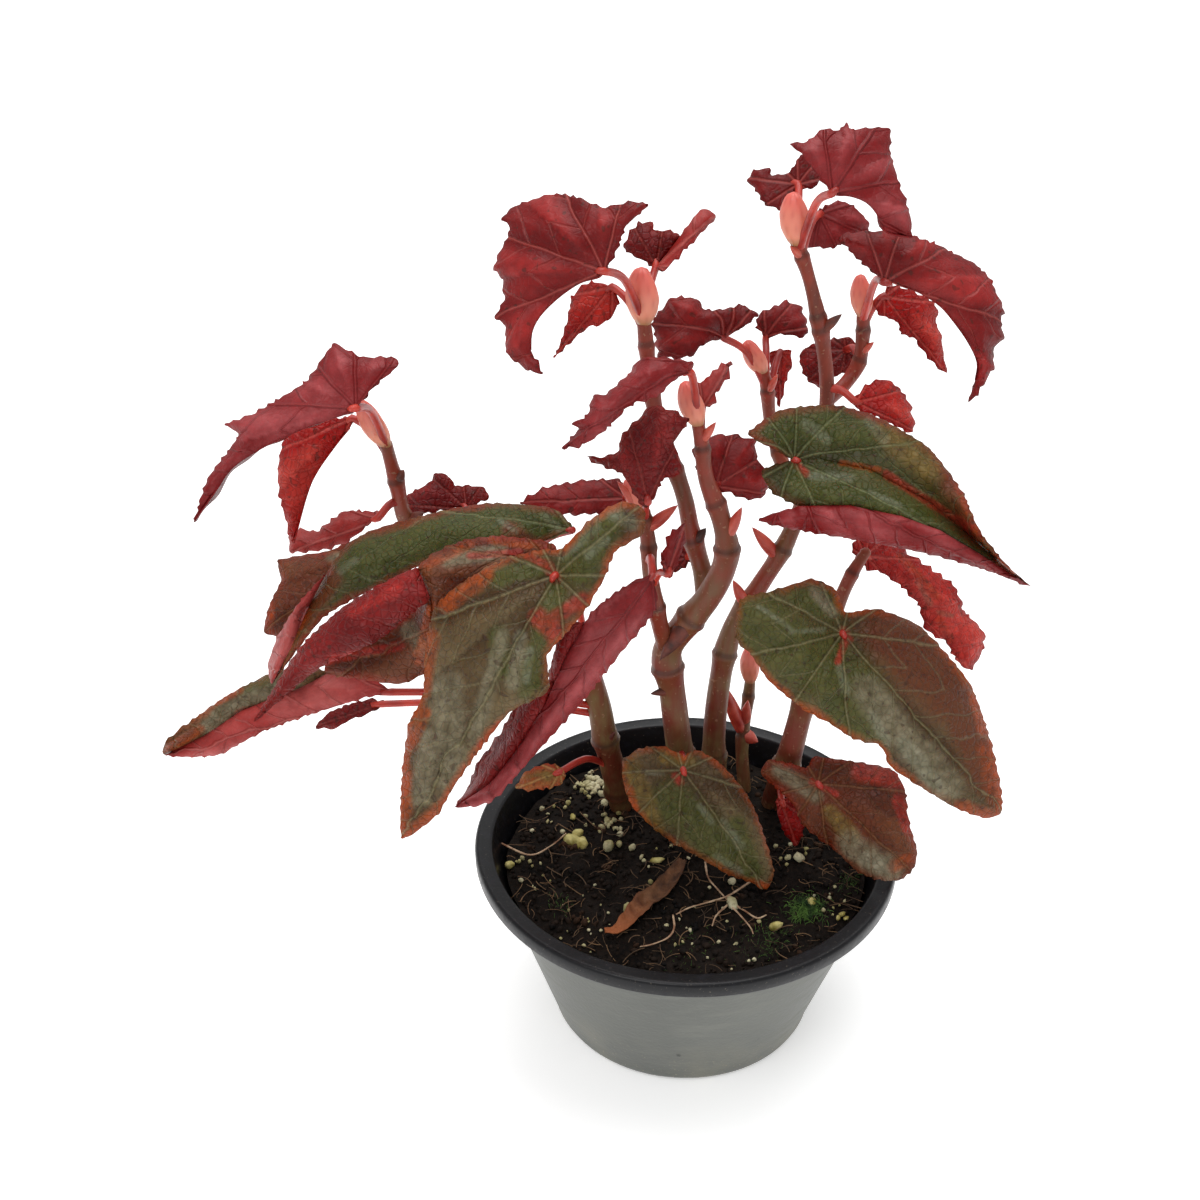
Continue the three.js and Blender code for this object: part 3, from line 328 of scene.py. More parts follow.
pad_under = pot_chain([(PAD_R, 0), (PAD_R + 1.5, CHANNEL_RISE)], lambda k: OUTSIDE)
shell_rows = pot_chain(shell, lambda k: OUTSIDE if k < outer_rows else BLACK)
pad_over = pot_chain([(PAD_R + 0.5, channel_top), (PAD_R - 1, FLOOR)], lambda k: BLACK)
for first, height, down in ((pad_under[0], 0, True), (pad_over[1], FLOOR, False)):
    middle = len(pot_points)
    pot_points.append(Vector((0, 0, height)) * MM)
    for i in range(POT_SIDES):
        j = (i + 1) % POT_SIDES
        pot_faces.append((first + j, first + i, middle) if down else (first + i, first + j, middle))
        pot_which.append(OUTSIDE if down else BLACK)

DRAIN_SIDES = 24
hole_middles = [Vector(way) * DRAIN_RING_R * MM for way in round_spots(DRAINS, 0.5)]


def channel_floor(outer, inner, height, down):
    """The flat ring between two rows of points, with the drain holes left open."""
    spots = [Vector(pot_points[first + i][:2]) for first in (outer, inner) for i in range(POT_SIDES)]
    loops = [list(range(POT_SIDES)), list(range(POT_SIDES, 2 * POT_SIDES))]
    index = [first + i for first in (outer, inner) for i in range(POT_SIDES)]
    for middle in hole_middles:
        loops.append(list(range(len(spots), len(spots) + DRAIN_SIDES)))
        for way in round_spots(DRAIN_SIDES):
            spots.append(middle + Vector(way) * DRAIN_R * MM)
            index.append(len(pot_points))
            pot_points.append(Vector((*spots[-1], height * MM)))
    edges = [(loop[i - 1], loop[i]) for loop in loops for i in range(len(loop))]
    found, _, triangles, *_ = delaunay_2d_cdt(spots, edges, [], 0, 1e-7)
    open_r = DRAIN_R * MM * 0.97
    for tri in triangles:
        a, b, c = (found[v] for v in tri)
        middle = (a + b + c) / 3
        if middle.length < PAD_R * MM or any((middle - hole).length < open_r for hole in hole_middles):
            continue
        corners = [index[v] for v in tri]
        if ((b - a).cross(c - a) > 0) == down:
            corners.reverse()
        pot_faces.append(tuple(corners))
        pot_which.append(OUTSIDE if down else BLACK)
    return index[2 * POT_SIDES :]


low_rings = channel_floor(shell_rows[0], pad_under[1], CHANNEL_RISE, True)
high_rings = channel_floor(shell_rows[-1], pad_over[0], channel_top, False)
for hole in range(DRAINS):
    for i in range(DRAIN_SIDES):
        a = hole * DRAIN_SIDES + i
        b = hole * DRAIN_SIDES + (i + 1) % DRAIN_SIDES
        pot_faces.append((low_rings[b], low_rings[a], high_rings[a], high_rings[b]))
        pot_which.append(BLACK)

# Greyed outside: faint scuffs round it, lighter haze, grit and a smear of
# dried mud near the foot, and a few dark nicks.
body = Paint("pot body", {"Specular IOR Level": 0.45})
spot = body.spot()
height = body.part(spot, 2)
stretched = body.node("ShaderNodeMapping", None, {0: spot, "Scale": (1, 1, 6)})
scuffs = body.ease(body.noise(60, 6, stretched), 0.5, 0.75)
haze = body.clouds(22, 3, 0.3, 0.7)
grit = body.clouds(900, 2, 0.66, 0.72) * body.ease(height + body.noise(70, 2) * 0.02, 0.03, 0.012)
smear = body.clouds(45, 5, 0.45, 0.7) * body.ease(height, 0.028, 0.006)
shade = body.mix(haze * 0.5, rgb(87, 89, 84), rgb(106, 108, 101))
shade = body.mix(scuffs * 0.35, shade, rgb(140, 141, 133))
shade = body.mix(smear * 0.5, shade, rgb(132, 128, 108))
shade = body.mix(grit * 0.8, shade, rgb(186, 176, 146))
# Nicks: [across, down, size].
NICKS = [
    [566, 1003, 2.2], [571, 1011, 1.5], [764, 1050, 2.0],
    [757, 1055, 1.2], [590, 1031, 0.9], [679, 1052, 0.7],
]
NEAR_WALL = -52
for across, down, size in NICKS:
    middle = tuple(place([across, down, NEAR_WALL]))
    away = body.node("ShaderNodeVectorMath", {"operation": "DISTANCE"}, {0: spot, 1: middle}, 1)
    ragged = away + body.noise(500, 2) * 0.003
    nick = body.ease(ragged, (size * 2.2 + 1.5) * MM, (size + 1.2) * MM)
    shade = body.mix(nick, shade, rgb(34, 32, 30))
body.feed(Base_Color=shade, Roughness=0.42 + scuffs * 0.2 + grit * 0.3)
body.bump(body.noise(700, 3) + grit, 0.0004, 0.35)

rim = Paint("pot rim", {"Specular IOR Level": 0.3})
wear = rim.clouds(260, 5, 0.55, 0.75)
dust = rim.clouds(1400, 2, 0.68, 0.74)
tint = rim.mix(wear * 0.5, rgb(8, 8, 12), rgb(22, 22, 32))
tint = rim.mix(dust * 0.5, tint, rgb(120, 112, 100))
rim.feed(Base_Color=tint, Roughness=0.34 + wear * 0.2)
rim.bump(rim.noise(500, 3), 0.0003, 0.3)

pot_paints = [body.material, rim.material]
pot = new_piece("nursery_pot", pot_points, pot_faces, pot_paints, pot_which, 50)
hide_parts("pot")

# ---- Soil ----
# Dark peat with bark crumbs and cream perlite, filled to a finger's width
# under the rim. Thin dead roots, moss and a dried leaf lie on it.
SOIL_TOP = 63.5
SOIL_RINGS = 70
SOIL_SPOKES = 220
MOUND = 1.6
SETTLED = 0.6
soil_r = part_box("soil")[1].x / MM - 0.2


def soil_height(x, y):
    """The soil's top at a point, in mm."""
    here = Vector((x, y, 0))
    lumps = noise.fractal(here * 0.09, 1.0, 2.0, 4) * 1.5 + noise.noise(here * 0.55) * 0.8
    out = math.hypot(x, y) / soil_r
    return SOIL_TOP + lumps + MOUND * (1 - out * out) - SETTLED


def on_soil(across, down, up=0):
    """Where the eye sees a spot of the soil, in mm."""
    ray = sight([across, down])
    height = SOIL_TOP
    for _ in range(4):
        at = (EYE + ray * (height * MM - EYE[2]) / ray[2]) / MM
        height = soil_height(at[0], at[1])
    return Vector((at[0], at[1], height + up))


soil_points = [Vector((0, 0, soil_height(0, 0))) * MM]
spokes = round_spots(SOIL_SPOKES)
for ring in range(1, SOIL_RINGS + 1):
    radius = soil_r * ring / SOIL_RINGS
    for across, deep in spokes:
        x, y = radius * across, radius * deep
        soil_points.append(Vector((x, y, soil_height(x, y))) * MM)
soil_floor = channel_top + 0.4
for radius, height in [(turn_r - WALL - 0.8, CORNER_R + 3), (CHANNEL_OUT_R - 1, soil_floor)]:
    for across, deep in spokes:
        soil_points.append(Vector((radius * across, radius * deep, height)) * MM)
soil_points.append(Vector((0, 0, soil_floor)) * MM)
soil_faces = [(0, 1 + i, 1 + (i + 1) % SOIL_SPOKES) for i in range(SOIL_SPOKES)]
for ring in range(SOIL_RINGS + 1):
    for i in range(SOIL_SPOKES):
        a = 1 + ring * SOIL_SPOKES + i
        b = 1 + ring * SOIL_SPOKES + (i + 1) % SOIL_SPOKES
        soil_faces.append((a, a + SOIL_SPOKES, b + SOIL_SPOKES, b))
last_ring = 1 + (SOIL_RINGS + 1) * SOIL_SPOKES
for i in range(SOIL_SPOKES):
    soil_faces.append((last_ring + (i + 1) % SOIL_SPOKES, last_ring + i, len(soil_points) - 1))

peat = Paint("peat", {"Specular IOR Level": 0.12})
damp = peat.clouds(90, 5, 0.35, 0.65)
crumb = peat.clouds(620, 3, 0.4, 0.7)
earth = peat.mix(damp, rgb(8, 6, 5), rgb(22, 16, 12))
earth = peat.mix(crumb * 0.6, earth, rgb(36, 26, 18))
peat.feed(Base_Color=earth, Roughness=0.95 - damp * 0.3)
peat.bump(peat.noise(520, 5), 0.0016, 0.9)
soil = new_piece("soil_bed", soil_points, soil_faces, [peat.material], None, 60)
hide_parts("soil")


def scatter_tree(name, shape):
    """Nodes that put a rough grain, or a bent fibre, on every point of a mesh."""
    tree = bpy.data.node_groups.new(name, "GeometryNodeTree")
    face = tree.interface
    face.new_socket("Points", in_out="INPUT", socket_type="NodeSocketGeometry")
    kinds = {"Roughness": "Float", "Flatness": "Float", "Tilt": "Float", "Seed": "Int", "Finish": "Material"}
    for label, kind in kinds.items():
        face.new_socket(label, in_out="INPUT", socket_type="NodeSocket" + kind)
    face.new_socket("Grains", in_out="OUTPUT", socket_type="NodeSocketGeometry")

    def node(kind, sockets=None, out=0, **settings):
        """A node's output. Sockets take a number or another node's output."""
        made = tree.nodes.new(kind)
        for key, value in settings.items():
            setattr(made, key, value)
        for key, value in (sockets or {}).items():
            if isinstance(value, bpy.types.NodeSocket):
                tree.links.new(value, made.inputs[key])
            else:
                made.inputs[key].default_value = value
        return made.outputs[out] if made.outputs else None

    def vector(operation, first, second, key=1):
        """One Vector Math node."""
        return node("ShaderNodeVectorMath", {0: first, key: second}, operation=operation)

    def scatter(least, most):
        """Three numbers drawn afresh for each grain."""
        sockets = {0: least, 1: most, "Seed": given["Seed"]}
        return node("FunctionNodeRandomValue", sockets, data_type="FLOAT_VECTOR")

    given = tree.nodes.new("NodeGroupInput").outputs
    if shape == "grain":
        ball = node("GeometryNodeMeshIcoSphere", {"Radius": 0.5, "Subdivisions": 2})
        dents = {"Scale": 1.7, "W": given["Roughness"]}
        dent = node("ShaderNodeTexNoise", dents, "Color", noise_dimensions="4D")
        centred = vector("SUBTRACT", dent, (0.5, 0.5, 0.5))
        push = vector("SCALE", centred, given["Roughness"], "Scale")
        item = node("GeometryNodeSetPosition", {"Geometry": ball, "Offset": push})
    else:
        arc = {"Resolution": 5, "Start": (-0.5, 0, 0), "Middle": (0, 0.25, 0.12), "End": (0.5, 0, 0)}
        bend = node("GeometryNodeCurveQuadraticBezier", arc)
        ring = node("GeometryNodeCurvePrimitiveCircle", {"Resolution": 4, "Radius": 0.025})
        item = node("GeometryNodeCurveToMesh", {"Curve": bend, "Profile Curve": ring, "Fill Caps": True})
    size = node("GeometryNodeInputNamedAttribute", {"Name": "size"}, data_type="FLOAT")
    flat = node("ShaderNodeCombineXYZ", {"X": 1.0, "Y": 0.85, "Z": given["Flatness"]})
    stretch = vector("MULTIPLY", flat, scatter((0.7, 0.7, 0.7), (1.3, 1.3, 1.3)))
    scale = vector("SCALE", stretch, size, "Scale")
    tilt = node("ShaderNodeCombineXYZ", {"X": given["Tilt"], "Y": given["Tilt"], "Z": 1.0})
    angle = vector("MULTIPLY", scatter((-1, -1, -math.pi), (1, 1, math.pi)), tilt)
    places = {"Points": given["Points"], "Instance": item, "Rotation": angle, "Scale": scale}
    put = node("GeometryNodeInstanceOnPoints", places)
    real = node("GeometryNodeRealizeInstances", {"Geometry": put})
    painted = node("GeometryNodeSetMaterial", {"Geometry": real, "Material": given["Finish"]})
    node("NodeGroupOutput", {"Grains": painted})
    return tree


def scattered(name, spots, sizes, tree, choices, finish):
    """A piece of many grains or fibres. Their spots and sizes are in mm."""
    mesh = bpy.data.meshes.new(name + "_points")
    mesh.from_pydata([tuple(Vector(p) * MM) for p in spots], [], [])
    mesh.attributes.new("size", "FLOAT", "POINT").data.foreach_set("value", [s * MM for s in sizes])
    maker = bpy.data.objects.new(name + "_points", mesh)
    scene.collection.objects.link(maker)
    modifier = maker.modifiers.new("grains", "NODES")
    modifier.node_group = tree
    sockets = {item.name: item.identifier for item in tree.interface.items_tree if item.in_out == "INPUT"}
    for label, value in {**choices, "Finish": finish}.items():
        modifier[sockets[label]] = value
    graph = bpy.context.evaluated_depsgraph_get()
    made = bpy.data.meshes.new_from_object(maker.evaluated_get(graph))
    bpy.data.objects.remove(maker)
    made.name = name
    made.shade_smooth()
    piece = bpy.data.objects.new(name, made)
    scene.collection.objects.link(piece)
    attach(piece, "root")


grain_tree = scatter_tree("rough grains", "grain")
fibre_tree = scatter_tree("bent fibres", "fibre")
draw = random.Random(11)


def anywhere(count, up):
    """Random points over the soil, with a lift in mm."""
    spots = []
    for _ in range(count):
        radius = (soil_r - 1.4) * math.sqrt(draw.random())
        a = draw.uniform(0, 2 * math.pi)
        x, y = radius * math.cos(a), radius * math.sin(a)
        spots.append((x, y, soil_height(x, y) + up))
    return spots


def in_patches(patches, wide, deep, lift, edge):
    """Random points in patches of [across, down, spread, how many, smallest, largest], with sizes."""
    spots, sizes = [], []
    for across, down, spread, count, least, most in patches:
        for _ in range(count):
            at = on_soil(draw.gauss(across, spread * wide), draw.gauss(down, spread * deep), lift())
            if at.xy.length < soil_r - edge:
                spots.append(at)
                sizes.append(draw.uniform(least, most))
    return spots, sizes


# Bark crumbs all over.
bark = Paint("bark crumbs", {"Specular IOR Level": 0.16, "Roughness": 0.8})
hue = bark.noise(160, 2)
crumb = bark.mix(bark.ease(hue, 0.35, 0.65), rgb(9, 7, 6), rgb(34, 24, 17))
crumb = bark.mix(bark.clouds(75, 1, 0.58, 0.72) * 0.7, crumb, rgb(74, 50, 34))
bark.feed(Base_Color=crumb)
bark.bump(bark.noise(1200, 3), 0.0004, 0.6)
spots = anywhere(1500, 0.3)
sizes = [draw.uniform(1.0, 2.6) * draw.uniform(0.6, 1.2) for _ in spots]
choices = {"Roughness": 0.9, "Flatness": 0.7, "Tilt": 2.0, "Seed": 3}
scattered("peat_crumbs", spots, sizes, grain_tree, choices, bark.material)

# Straw-coloured peat fibres among them.
straw = Paint("peat fibres", {"Roughness": 0.85})
straw.feed(Base_Color=straw.mix(straw.clouds(130, 2, 0.3, 0.7), rgb(44, 31, 23), rgb(128, 98, 68)))
spots = anywhere(420, 0.9)
sizes = [draw.uniform(3, 9) for _ in spots]
scattered("peat_fibres", spots, sizes, fibre_tree, {"Flatness": 1.0, "Tilt": 0.3, "Seed": 5}, straw.material)

# Perlite, in patches and as single grains of [across, down, size].
PERLITE = [
    [592, 786, 15, 44, 1.6, 3.4], [612, 820, 16, 16, 1.3, 2.6], [560, 830, 30, 14, 1.0, 2.2],
    [640, 745, 26, 16, 1.2, 2.6], [700, 735, 30, 14, 1.2, 2.4], [780, 745, 22, 12, 1.2, 2.4],
    [660, 870, 30, 12, 1.0, 2.2], [720, 940, 50, 22, 0.8, 1.8], [840, 905, 22, 14, 0.8, 1.8],
    [530, 880, 24, 14, 0.8, 2.0], [600, 920, 40, 18, 0.7, 1.6], [790, 862, 20, 8, 1.2, 2.4],
]
SINGLE_GRAINS = [
    [609, 848, 4.4], [619, 846, 3.2], [632, 850, 3.4], [627, 911, 4.2],
    [732, 906, 5.2], [799, 861, 5.0], [540, 792, 2.4], [732, 884, 3.0],
]
perlite = Paint("perlite", {"Specular IOR Level": 0.4, "Roughness": 0.85})
cream = perlite.mix(perlite.clouds(110, 1, 0.35, 0.65), rgb(206, 200, 166), rgb(158, 150, 96))
cream = perlite.mix(perlite.clouds(700, 3, 0.52, 0.72) * 0.7, cream, rgb(120, 108, 78))
perlite.feed(Base_Color=cream)
perlite.bump(perlite.noise(1500, 3), 0.0005, 0.8)
spots, sizes = in_patches(PERLITE, 0.6, 0.45, lambda: 0.7, 2.5)
spots += [on_soil(across, down, 1.2) for across, down, _ in SINGLE_GRAINS]
sizes += [size for _, _, size in SINGLE_GRAINS]
choices = {"Roughness": 0.75, "Flatness": 0.85, "Tilt": 2.0, "Seed": 9}
scattered("perlite_grains", spots, sizes, grain_tree, choices, perlite.material)

# Yellowed lumps of [across, down, size]: old fertiliser and bits of leaf.
LUMPS = [
    [573, 841, 6.0], [582, 846, 5.5], [578, 836, 4.5], [657, 863, 4.6], [509, 868, 4.4], [775, 929, 4.6],
    [812, 904, 4.0], [573, 818, 3.0], [842, 917, 2.6], [846, 921, 2.2], [838, 921, 2.2],
]
lump = Paint("yellow lumps", {"Roughness": 0.75})
lump.feed(Base_Color=lump.mix(lump.clouds(260, 3, 0.35, 0.65), rgb(206, 196, 128), rgb(132, 120, 48)))
lump.bump(lump.noise(900, 3), 0.0006, 0.7)
spots = [on_soil(across, down, 1.3) for across, down, _ in LUMPS]
sizes = [size for _, _, size in LUMPS]
choices = {"Roughness": 0.8, "Flatness": 0.6, "Tilt": 0.5, "Seed": 12}
scattered("yellow_lumps", spots, sizes, grain_tree, choices, lump.material)

# Moss: a loose green patch near the rim, and thinner green round the front.
MOSS = [
    [806, 910, 17, 520, 1.2, 2.8], [770, 940, 30, 160, 0.8, 1.6], [850, 885, 16, 90, 0.8, 1.8],
    [560, 905, 14, 60, 0.7, 1.4], [690, 955, 30, 70, 0.6, 1.2],
]
MOSS_GROWTH = 1.3
moss = Paint("moss", {"Roughness": 0.8})
moss.feed(Base_Color=moss.mix(moss.clouds(300, 2, 0.35, 0.65), rgb(28, 58, 20), rgb(92, 128, 52)))
spots, sizes = in_patches(MOSS, 0.5, 0.4, lambda: draw.uniform(0.2, 1.6), 1.5)
sizes = [size * MOSS_GROWTH for size in sizes]
scattered("moss_tufts", spots, sizes, fibre_tree, {"Flatness": 1.4, "Tilt": 1.4, "Seed": 21}, moss.material)


def tube_mesh(line, radii, sides):
    """Points and faces of a tube with closed ends. Both in metres."""
    points, faces = [], []
    side = (line[1] - line[0]).orthogonal().normalized()
    for i, at in enumerate(line):
        along = (line[min(i + 1, len(line) - 1)] - line[max(i - 1, 0)]).normalized()
        side = (side - along * side.dot(along)).normalized()
        over = along.cross(side)
        points += [at + (side * out + over * up) * radii[i] for out, up in round_spots(sides)]
        if i:
            faces += ring_band((i - 1) * sides, i * sides, sides)
    faces.append(tuple(range(sides))[::-1])
    faces.append(tuple(range(len(points) - sides, len(points))))
    return points, faces


def through(points, step):
    """A smooth line through some points, with a point about every step metres."""
    points = [Vector(p) for p in points]
    ends = [points[0] * 2 - points[1]] + points + [points[-1] * 2 - points[-2]]
    line = []
    for a, b, c, d in zip(ends, ends[1:], ends[2:], ends[3:]):
        count = max(1, round((c - b).length / step))
        for k in range(count):
            t = k / count
            bent = (2 * a - 5 * b + 4 * c - d) * t**2 + (3 * b - a - 3 * c + d) * t**3
            line.append(0.5 * (2 * b + (c - a) * t + bent))
    line.append(points[-1])
    return line


# Thin dead roots that have come out of the peat.
ROOTS = [
    [[705, 866], [708, 880], [716, 892], [724, 900], [730, 906]],
    [[752, 884], [740, 892], [728, 900], [714, 904], [700, 908], [688, 912], [676, 918]],
    [[732, 906], [745, 914], [757, 921], [766, 919]],
    [[730, 908], [740, 918], [750, 930], [753, 938]],
    [[673, 918], [674, 932], [668, 941], [652, 948], [640, 951]],
    [[727, 909], [716, 920], [712, 930]],
    [[500, 846], [530, 858], [552, 850], [566, 838]],
]
ROOT_STEP = 1.2
ROOT_R = 0.42
ROOT_TAPER = 0.2
ROOT_SIDES = 6
root_paint = Paint("dead roots", {"Roughness": 0.7})
pale = root_paint.clouds(220, 2, 0.35, 0.65)
root_paint.feed(Base_Color=root_paint.mix(pale, rgb(206, 178, 146), rgb(132, 92, 66)))
points, faces = [], []
for route in ROOTS:
    spots = [on_soil(across, down, 1.6 + draw.uniform(-0.4, 0.6)) * MM for across, down in route]
    line = through(spots, ROOT_STEP * MM)
    share = [i / len(line) for i in range(len(line))]
    radii = [(ROOT_R - ROOT_TAPER * t + draw.uniform(-0.06, 0.06)) * MM for t in share]
    root_points, root_faces = tube_mesh(line, radii, ROOT_SIDES)
    faces += [tuple(v + len(points) for v in f) for f in root_faces]
    points += root_points
new_piece("dead_roots", points, faces, [root_paint.material])


# ---- Canes ----
# Bamboo-like stems, woody and brown-green below, red and fleshy above, with
# a swollen ringed joint wherever a leaf has grown. Side canes grow out of
# the joints. A root or first spot is followed by [across, down, depth, radius].
CANES = {
    "left_cane": {
        "root": [622, 806, 4.4],
        "path": [[606, 742, 20, 4.4], [596, 695, 16, 4.2], [570, 632, 10, 3.8], [508, 578, 12, 3.2],
                 [444, 546, 16, 2.8], [408, 522, 14, 2.6], [396, 481, 8, 2.4], [386, 444, 2, 2.1]],
    },
    "middle_cane": {
        "root": [686, 800, 4.8],
        "path": [[679, 745, 19, 4.8], [672, 690, 18, 4.7], [667, 652, 17, 5.0], [684, 626, 15, 4.7],
                 [706, 600, 12, 4.5], [722, 572, 10, 4.2], [727, 546, 8, 3.8], [719, 512, 6, 3.0],
                 [706, 478, 4, 2.5], [702, 445, 2, 2.2], [698, 424, 1, 2.1]],
    },
    "right_top_cane": {
        "root": [716, 800, 4.2],
        "path": [[714, 740, 30, 4.2], [720, 680, 32, 4.0], [732, 630, 32, 3.7], [758, 588, 32, 3.3],
                 [782, 550, 31, 3.0], [802, 505, 30, 2.8], [820, 450, 30, 2.5], [827, 400, 30, 2.5],
                 [824, 352, 29, 2.4], [817, 312, 27, 2.3], [808, 275, 25, 2.1], [797, 243, 23, 2.0]],
    },
    "right_cane": {
        "root": [774, 802, 4.4],
        "path": [[788, 760, 14, 4.4], [803, 706, 12, 4.0], [820, 655, 10, 3.2], [838, 605, 8, 2.4],
                 [852, 574, 8, 2.0], [866, 552, 8, 1.8]],
    },
    "young_cane": {
        "root": [744, 790, 2.4],
        "path": [[742, 745, 44, 2.4], [748, 700, 48, 2.1], [750, 682, 48, 2.0]],
    },
    "upper_left_cane": {
        "from": ["middle_cane", 706, 600],
        "path": [[702, 570, 20, 3.2], [692, 535, 20, 3.1], [684, 496, 18, 2.8], [668, 450, 16, 2.6],
                 [654, 405, 14, 2.5], [648, 362, 12, 2.3], [644, 322, 11, 2.2]],
    },
    "short_cane": {
        "from": ["middle_cane", 667, 652],
        "path": [[657, 612, 8, 2.8], [650, 572, 4, 2.6], [648, 540, 2, 2.4], [643, 512, 0, 2.2]],
    },
    "right_side_shoot": {
        "from": ["right_top_cane", 827, 400],
        "path": [[845, 384, 38, 2.3], [859, 362, 41, 2.2], [863, 334, 40, 2.1], [863, 316, 39, 2.0]],
    },
    "centre_shoot": {
        "from": ["right_top_cane", 802, 505],
        "path": [[784, 468, 44, 2.4], [771, 425, 50, 2.2], [767, 388, 50, 2.1], [763, 372, 49, 2.0]],
    },
}
# Joints: the spots of each cane where its rings show.
JOINTS = {
    "left_cane": [[618, 790], [600, 741], [583, 655], [520, 585], [460, 552], [408, 522], [395, 481]],
    "middle_cane": [[681, 755], [670, 668], [690, 618], [727, 549], [716, 505], [703, 450]],
    "right_top_cane": [
        [716, 755], [724, 655], [744, 606], [783, 549], [806, 492], [824, 425],
        [822, 330], [818, 318], [803, 258],
    ],
    "right_cane": [[785, 765], [806, 700], [833, 620], [852, 574]],
    "young_cane": [[740, 735], [748, 695]],
    "upper_left_cane": [[692, 540], [676, 470], [651, 392], [646, 345]],
    "short_cane": [[656, 606], [649, 548], [645, 520]],
    "right_side_shoot": [[859, 362], [863, 330]],
    "centre_shoot": [[778, 452], [767, 392]],
}
FOOT_DEPTH = 20
CANE_STEP = 1.1
CANE_SIDES = 20
SWELL, SWELL_WIDTH = 0.16, 4.5
RING, RING_WIDTH = 0.1, 0.9
GROOVE, GROOVE_WIDTH, GROOVE_ABOVE = 0.05, 0.8, 2.0
MARK_ABOVE = 1.6
# A cane's end closes in steps: how wide, and how far on, by its own radius.
END_TAPER = [(0.72, 0.45), (0.35, 0.75), (0.1, 0.88)]

# Stipules: the dry or fleshy little sheaths left at a joint, as
# [cane, where it grows, where its point is, width, paint].
STIPULES = [
    ["right_top_cane", 824, 330, 842, 314, 3.5, "dry"], ["middle_cane", 664, 690, 650, 694, 3.2, "dry"],
    ["left_cane", 600, 741, 615, 732, 3.7, "dry"], ["left_cane", 395, 481, 404, 470, 4.0, "dry"],
    ["short_cane", 648, 508, 617, 481, 3.7, "fresh"], ["short_cane", 646, 530, 678, 505, 4.3, "fresh"],
    ["right_top_cane", 778, 556, 752, 527, 4.7, "fresh"], ["middle_cane", 724, 538, 742, 507, 4.3, "fresh"],
    ["middle_cane", 702, 440, 716, 422, 3.1, "fresh"], ["young_cane", 743, 735, 722, 682, 5.6, "fresh"],
    ["young_cane", 744, 733, 758, 742, 5.6, "fresh"], ["young_cane", 744, 725, 748, 700, 4.3, "fresh"],
    ["upper_left_cane", 692, 545, 706, 528, 4.0, "dry"], ["centre_shoot", 767, 392, 778, 374, 2.9, "fresh"],
    ["right_side_shoot", 862, 352, 874, 342, 2.7, "fresh"],
    ["right_top_cane", 803, 258, 790, 246, 2.9, "fresh"],
    ["left_cane", 408, 522, 424, 512, 4.0, "dry"], ["right_cane", 806, 700, 818, 690, 3.5, "dry"],
    ["middle_cane", 690, 618, 660, 660, 6.4, "dry"], ["right_top_cane", 744, 606, 733, 580, 4.3, "fresh"],
]

cane_paint = Paint("cane bark", {"Specular IOR Level": 0.35})
height = cane_paint.part(cane_paint.spot(), 2)
climb = cane_paint.ease(height + (cane_paint.noise(24, 3) - 0.5) * 0.06, 0.08, 0.235)
ribbed = cane_paint.node("ShaderNodeMapping", None, {0: cane_paint.spot(), "Scale": (1, 1, 0.18)})
streak = cane_paint.ease(cane_paint.noise(420, 4, ribbed), 0.38, 0.68)
patch = cane_paint.clouds(55, 3, 0.38, 0.62)
woody = cane_paint.mix(patch, rgb(98, 50, 30), rgb(122, 104, 66))
woody = cane_paint.mix(streak * 0.6, woody, rgb(104, 34, 22))
fleshy = cane_paint.mix(patch * 0.8, rgb(144, 44, 28), rgb(84, 40, 22))
fleshy = cane_paint.mix(streak * 0.4, fleshy, rgb(150, 66, 46))
bark_tint = cane_paint.mix(climb, woody, fleshy)
speck = cane_paint.clouds(650, 1, 0.66, 0.72)
bark_tint = cane_paint.mix(speck * 0.5, bark_tint, rgb(160, 118, 90))
bark_tint = cane_paint.mix(cane_paint.trait("ring") * 0.8, bark_tint, rgb(52, 28, 18))
cane_paint.feed(Base_Color=bark_tint, Roughness=0.4 + streak * 0.15)
cane_paint.bump(streak * 0.6 + speck, 0.0003, 0.5)

dry_paint = Paint("dry stipule", {"Roughness": 0.6})
scorch = dry_paint.clouds(200, 3, 0.35, 0.65)
dry_paint.feed(Base_Color=dry_paint.mix(scorch, rgb(112, 50, 34), rgb(52, 26, 20)))
dry_paint.bump(dry_paint.noise(900, 3), 0.0003, 0.5)
FRESH = {"Roughness": 0.45, "Subsurface Weight": 0.15, "Subsurface Scale": 0.003}
fresh_paint = Paint("fresh stipule", FRESH)
blush = fresh_paint.clouds(150, 3, 0.35, 0.7)
fresh_paint.feed(Base_Color=fresh_paint.mix(blush, rgb(196, 92, 74), rgb(150, 44, 36)))
fresh_paint.bump(fresh_paint.noise(500, 3), 0.0004, 0.5)
stem_paints = [cane_paint.material, dry_paint.material, fresh_paint.material]
BARK = 0
STIPULE_PAINTS = {"dry": 1, "fresh": 2}
SCALE_ROWS, SCALE_COLUMNS = 9, 6
SCALE_SKIN = 0.4
SCALE_BULGE = 1.2


def add_trait(piece, name, values):
    """Holds a number at each of a piece's points, for its paint."""
    piece.data.attributes.new(name, "FLOAT", "POINT").data.foreach_set("value", values)


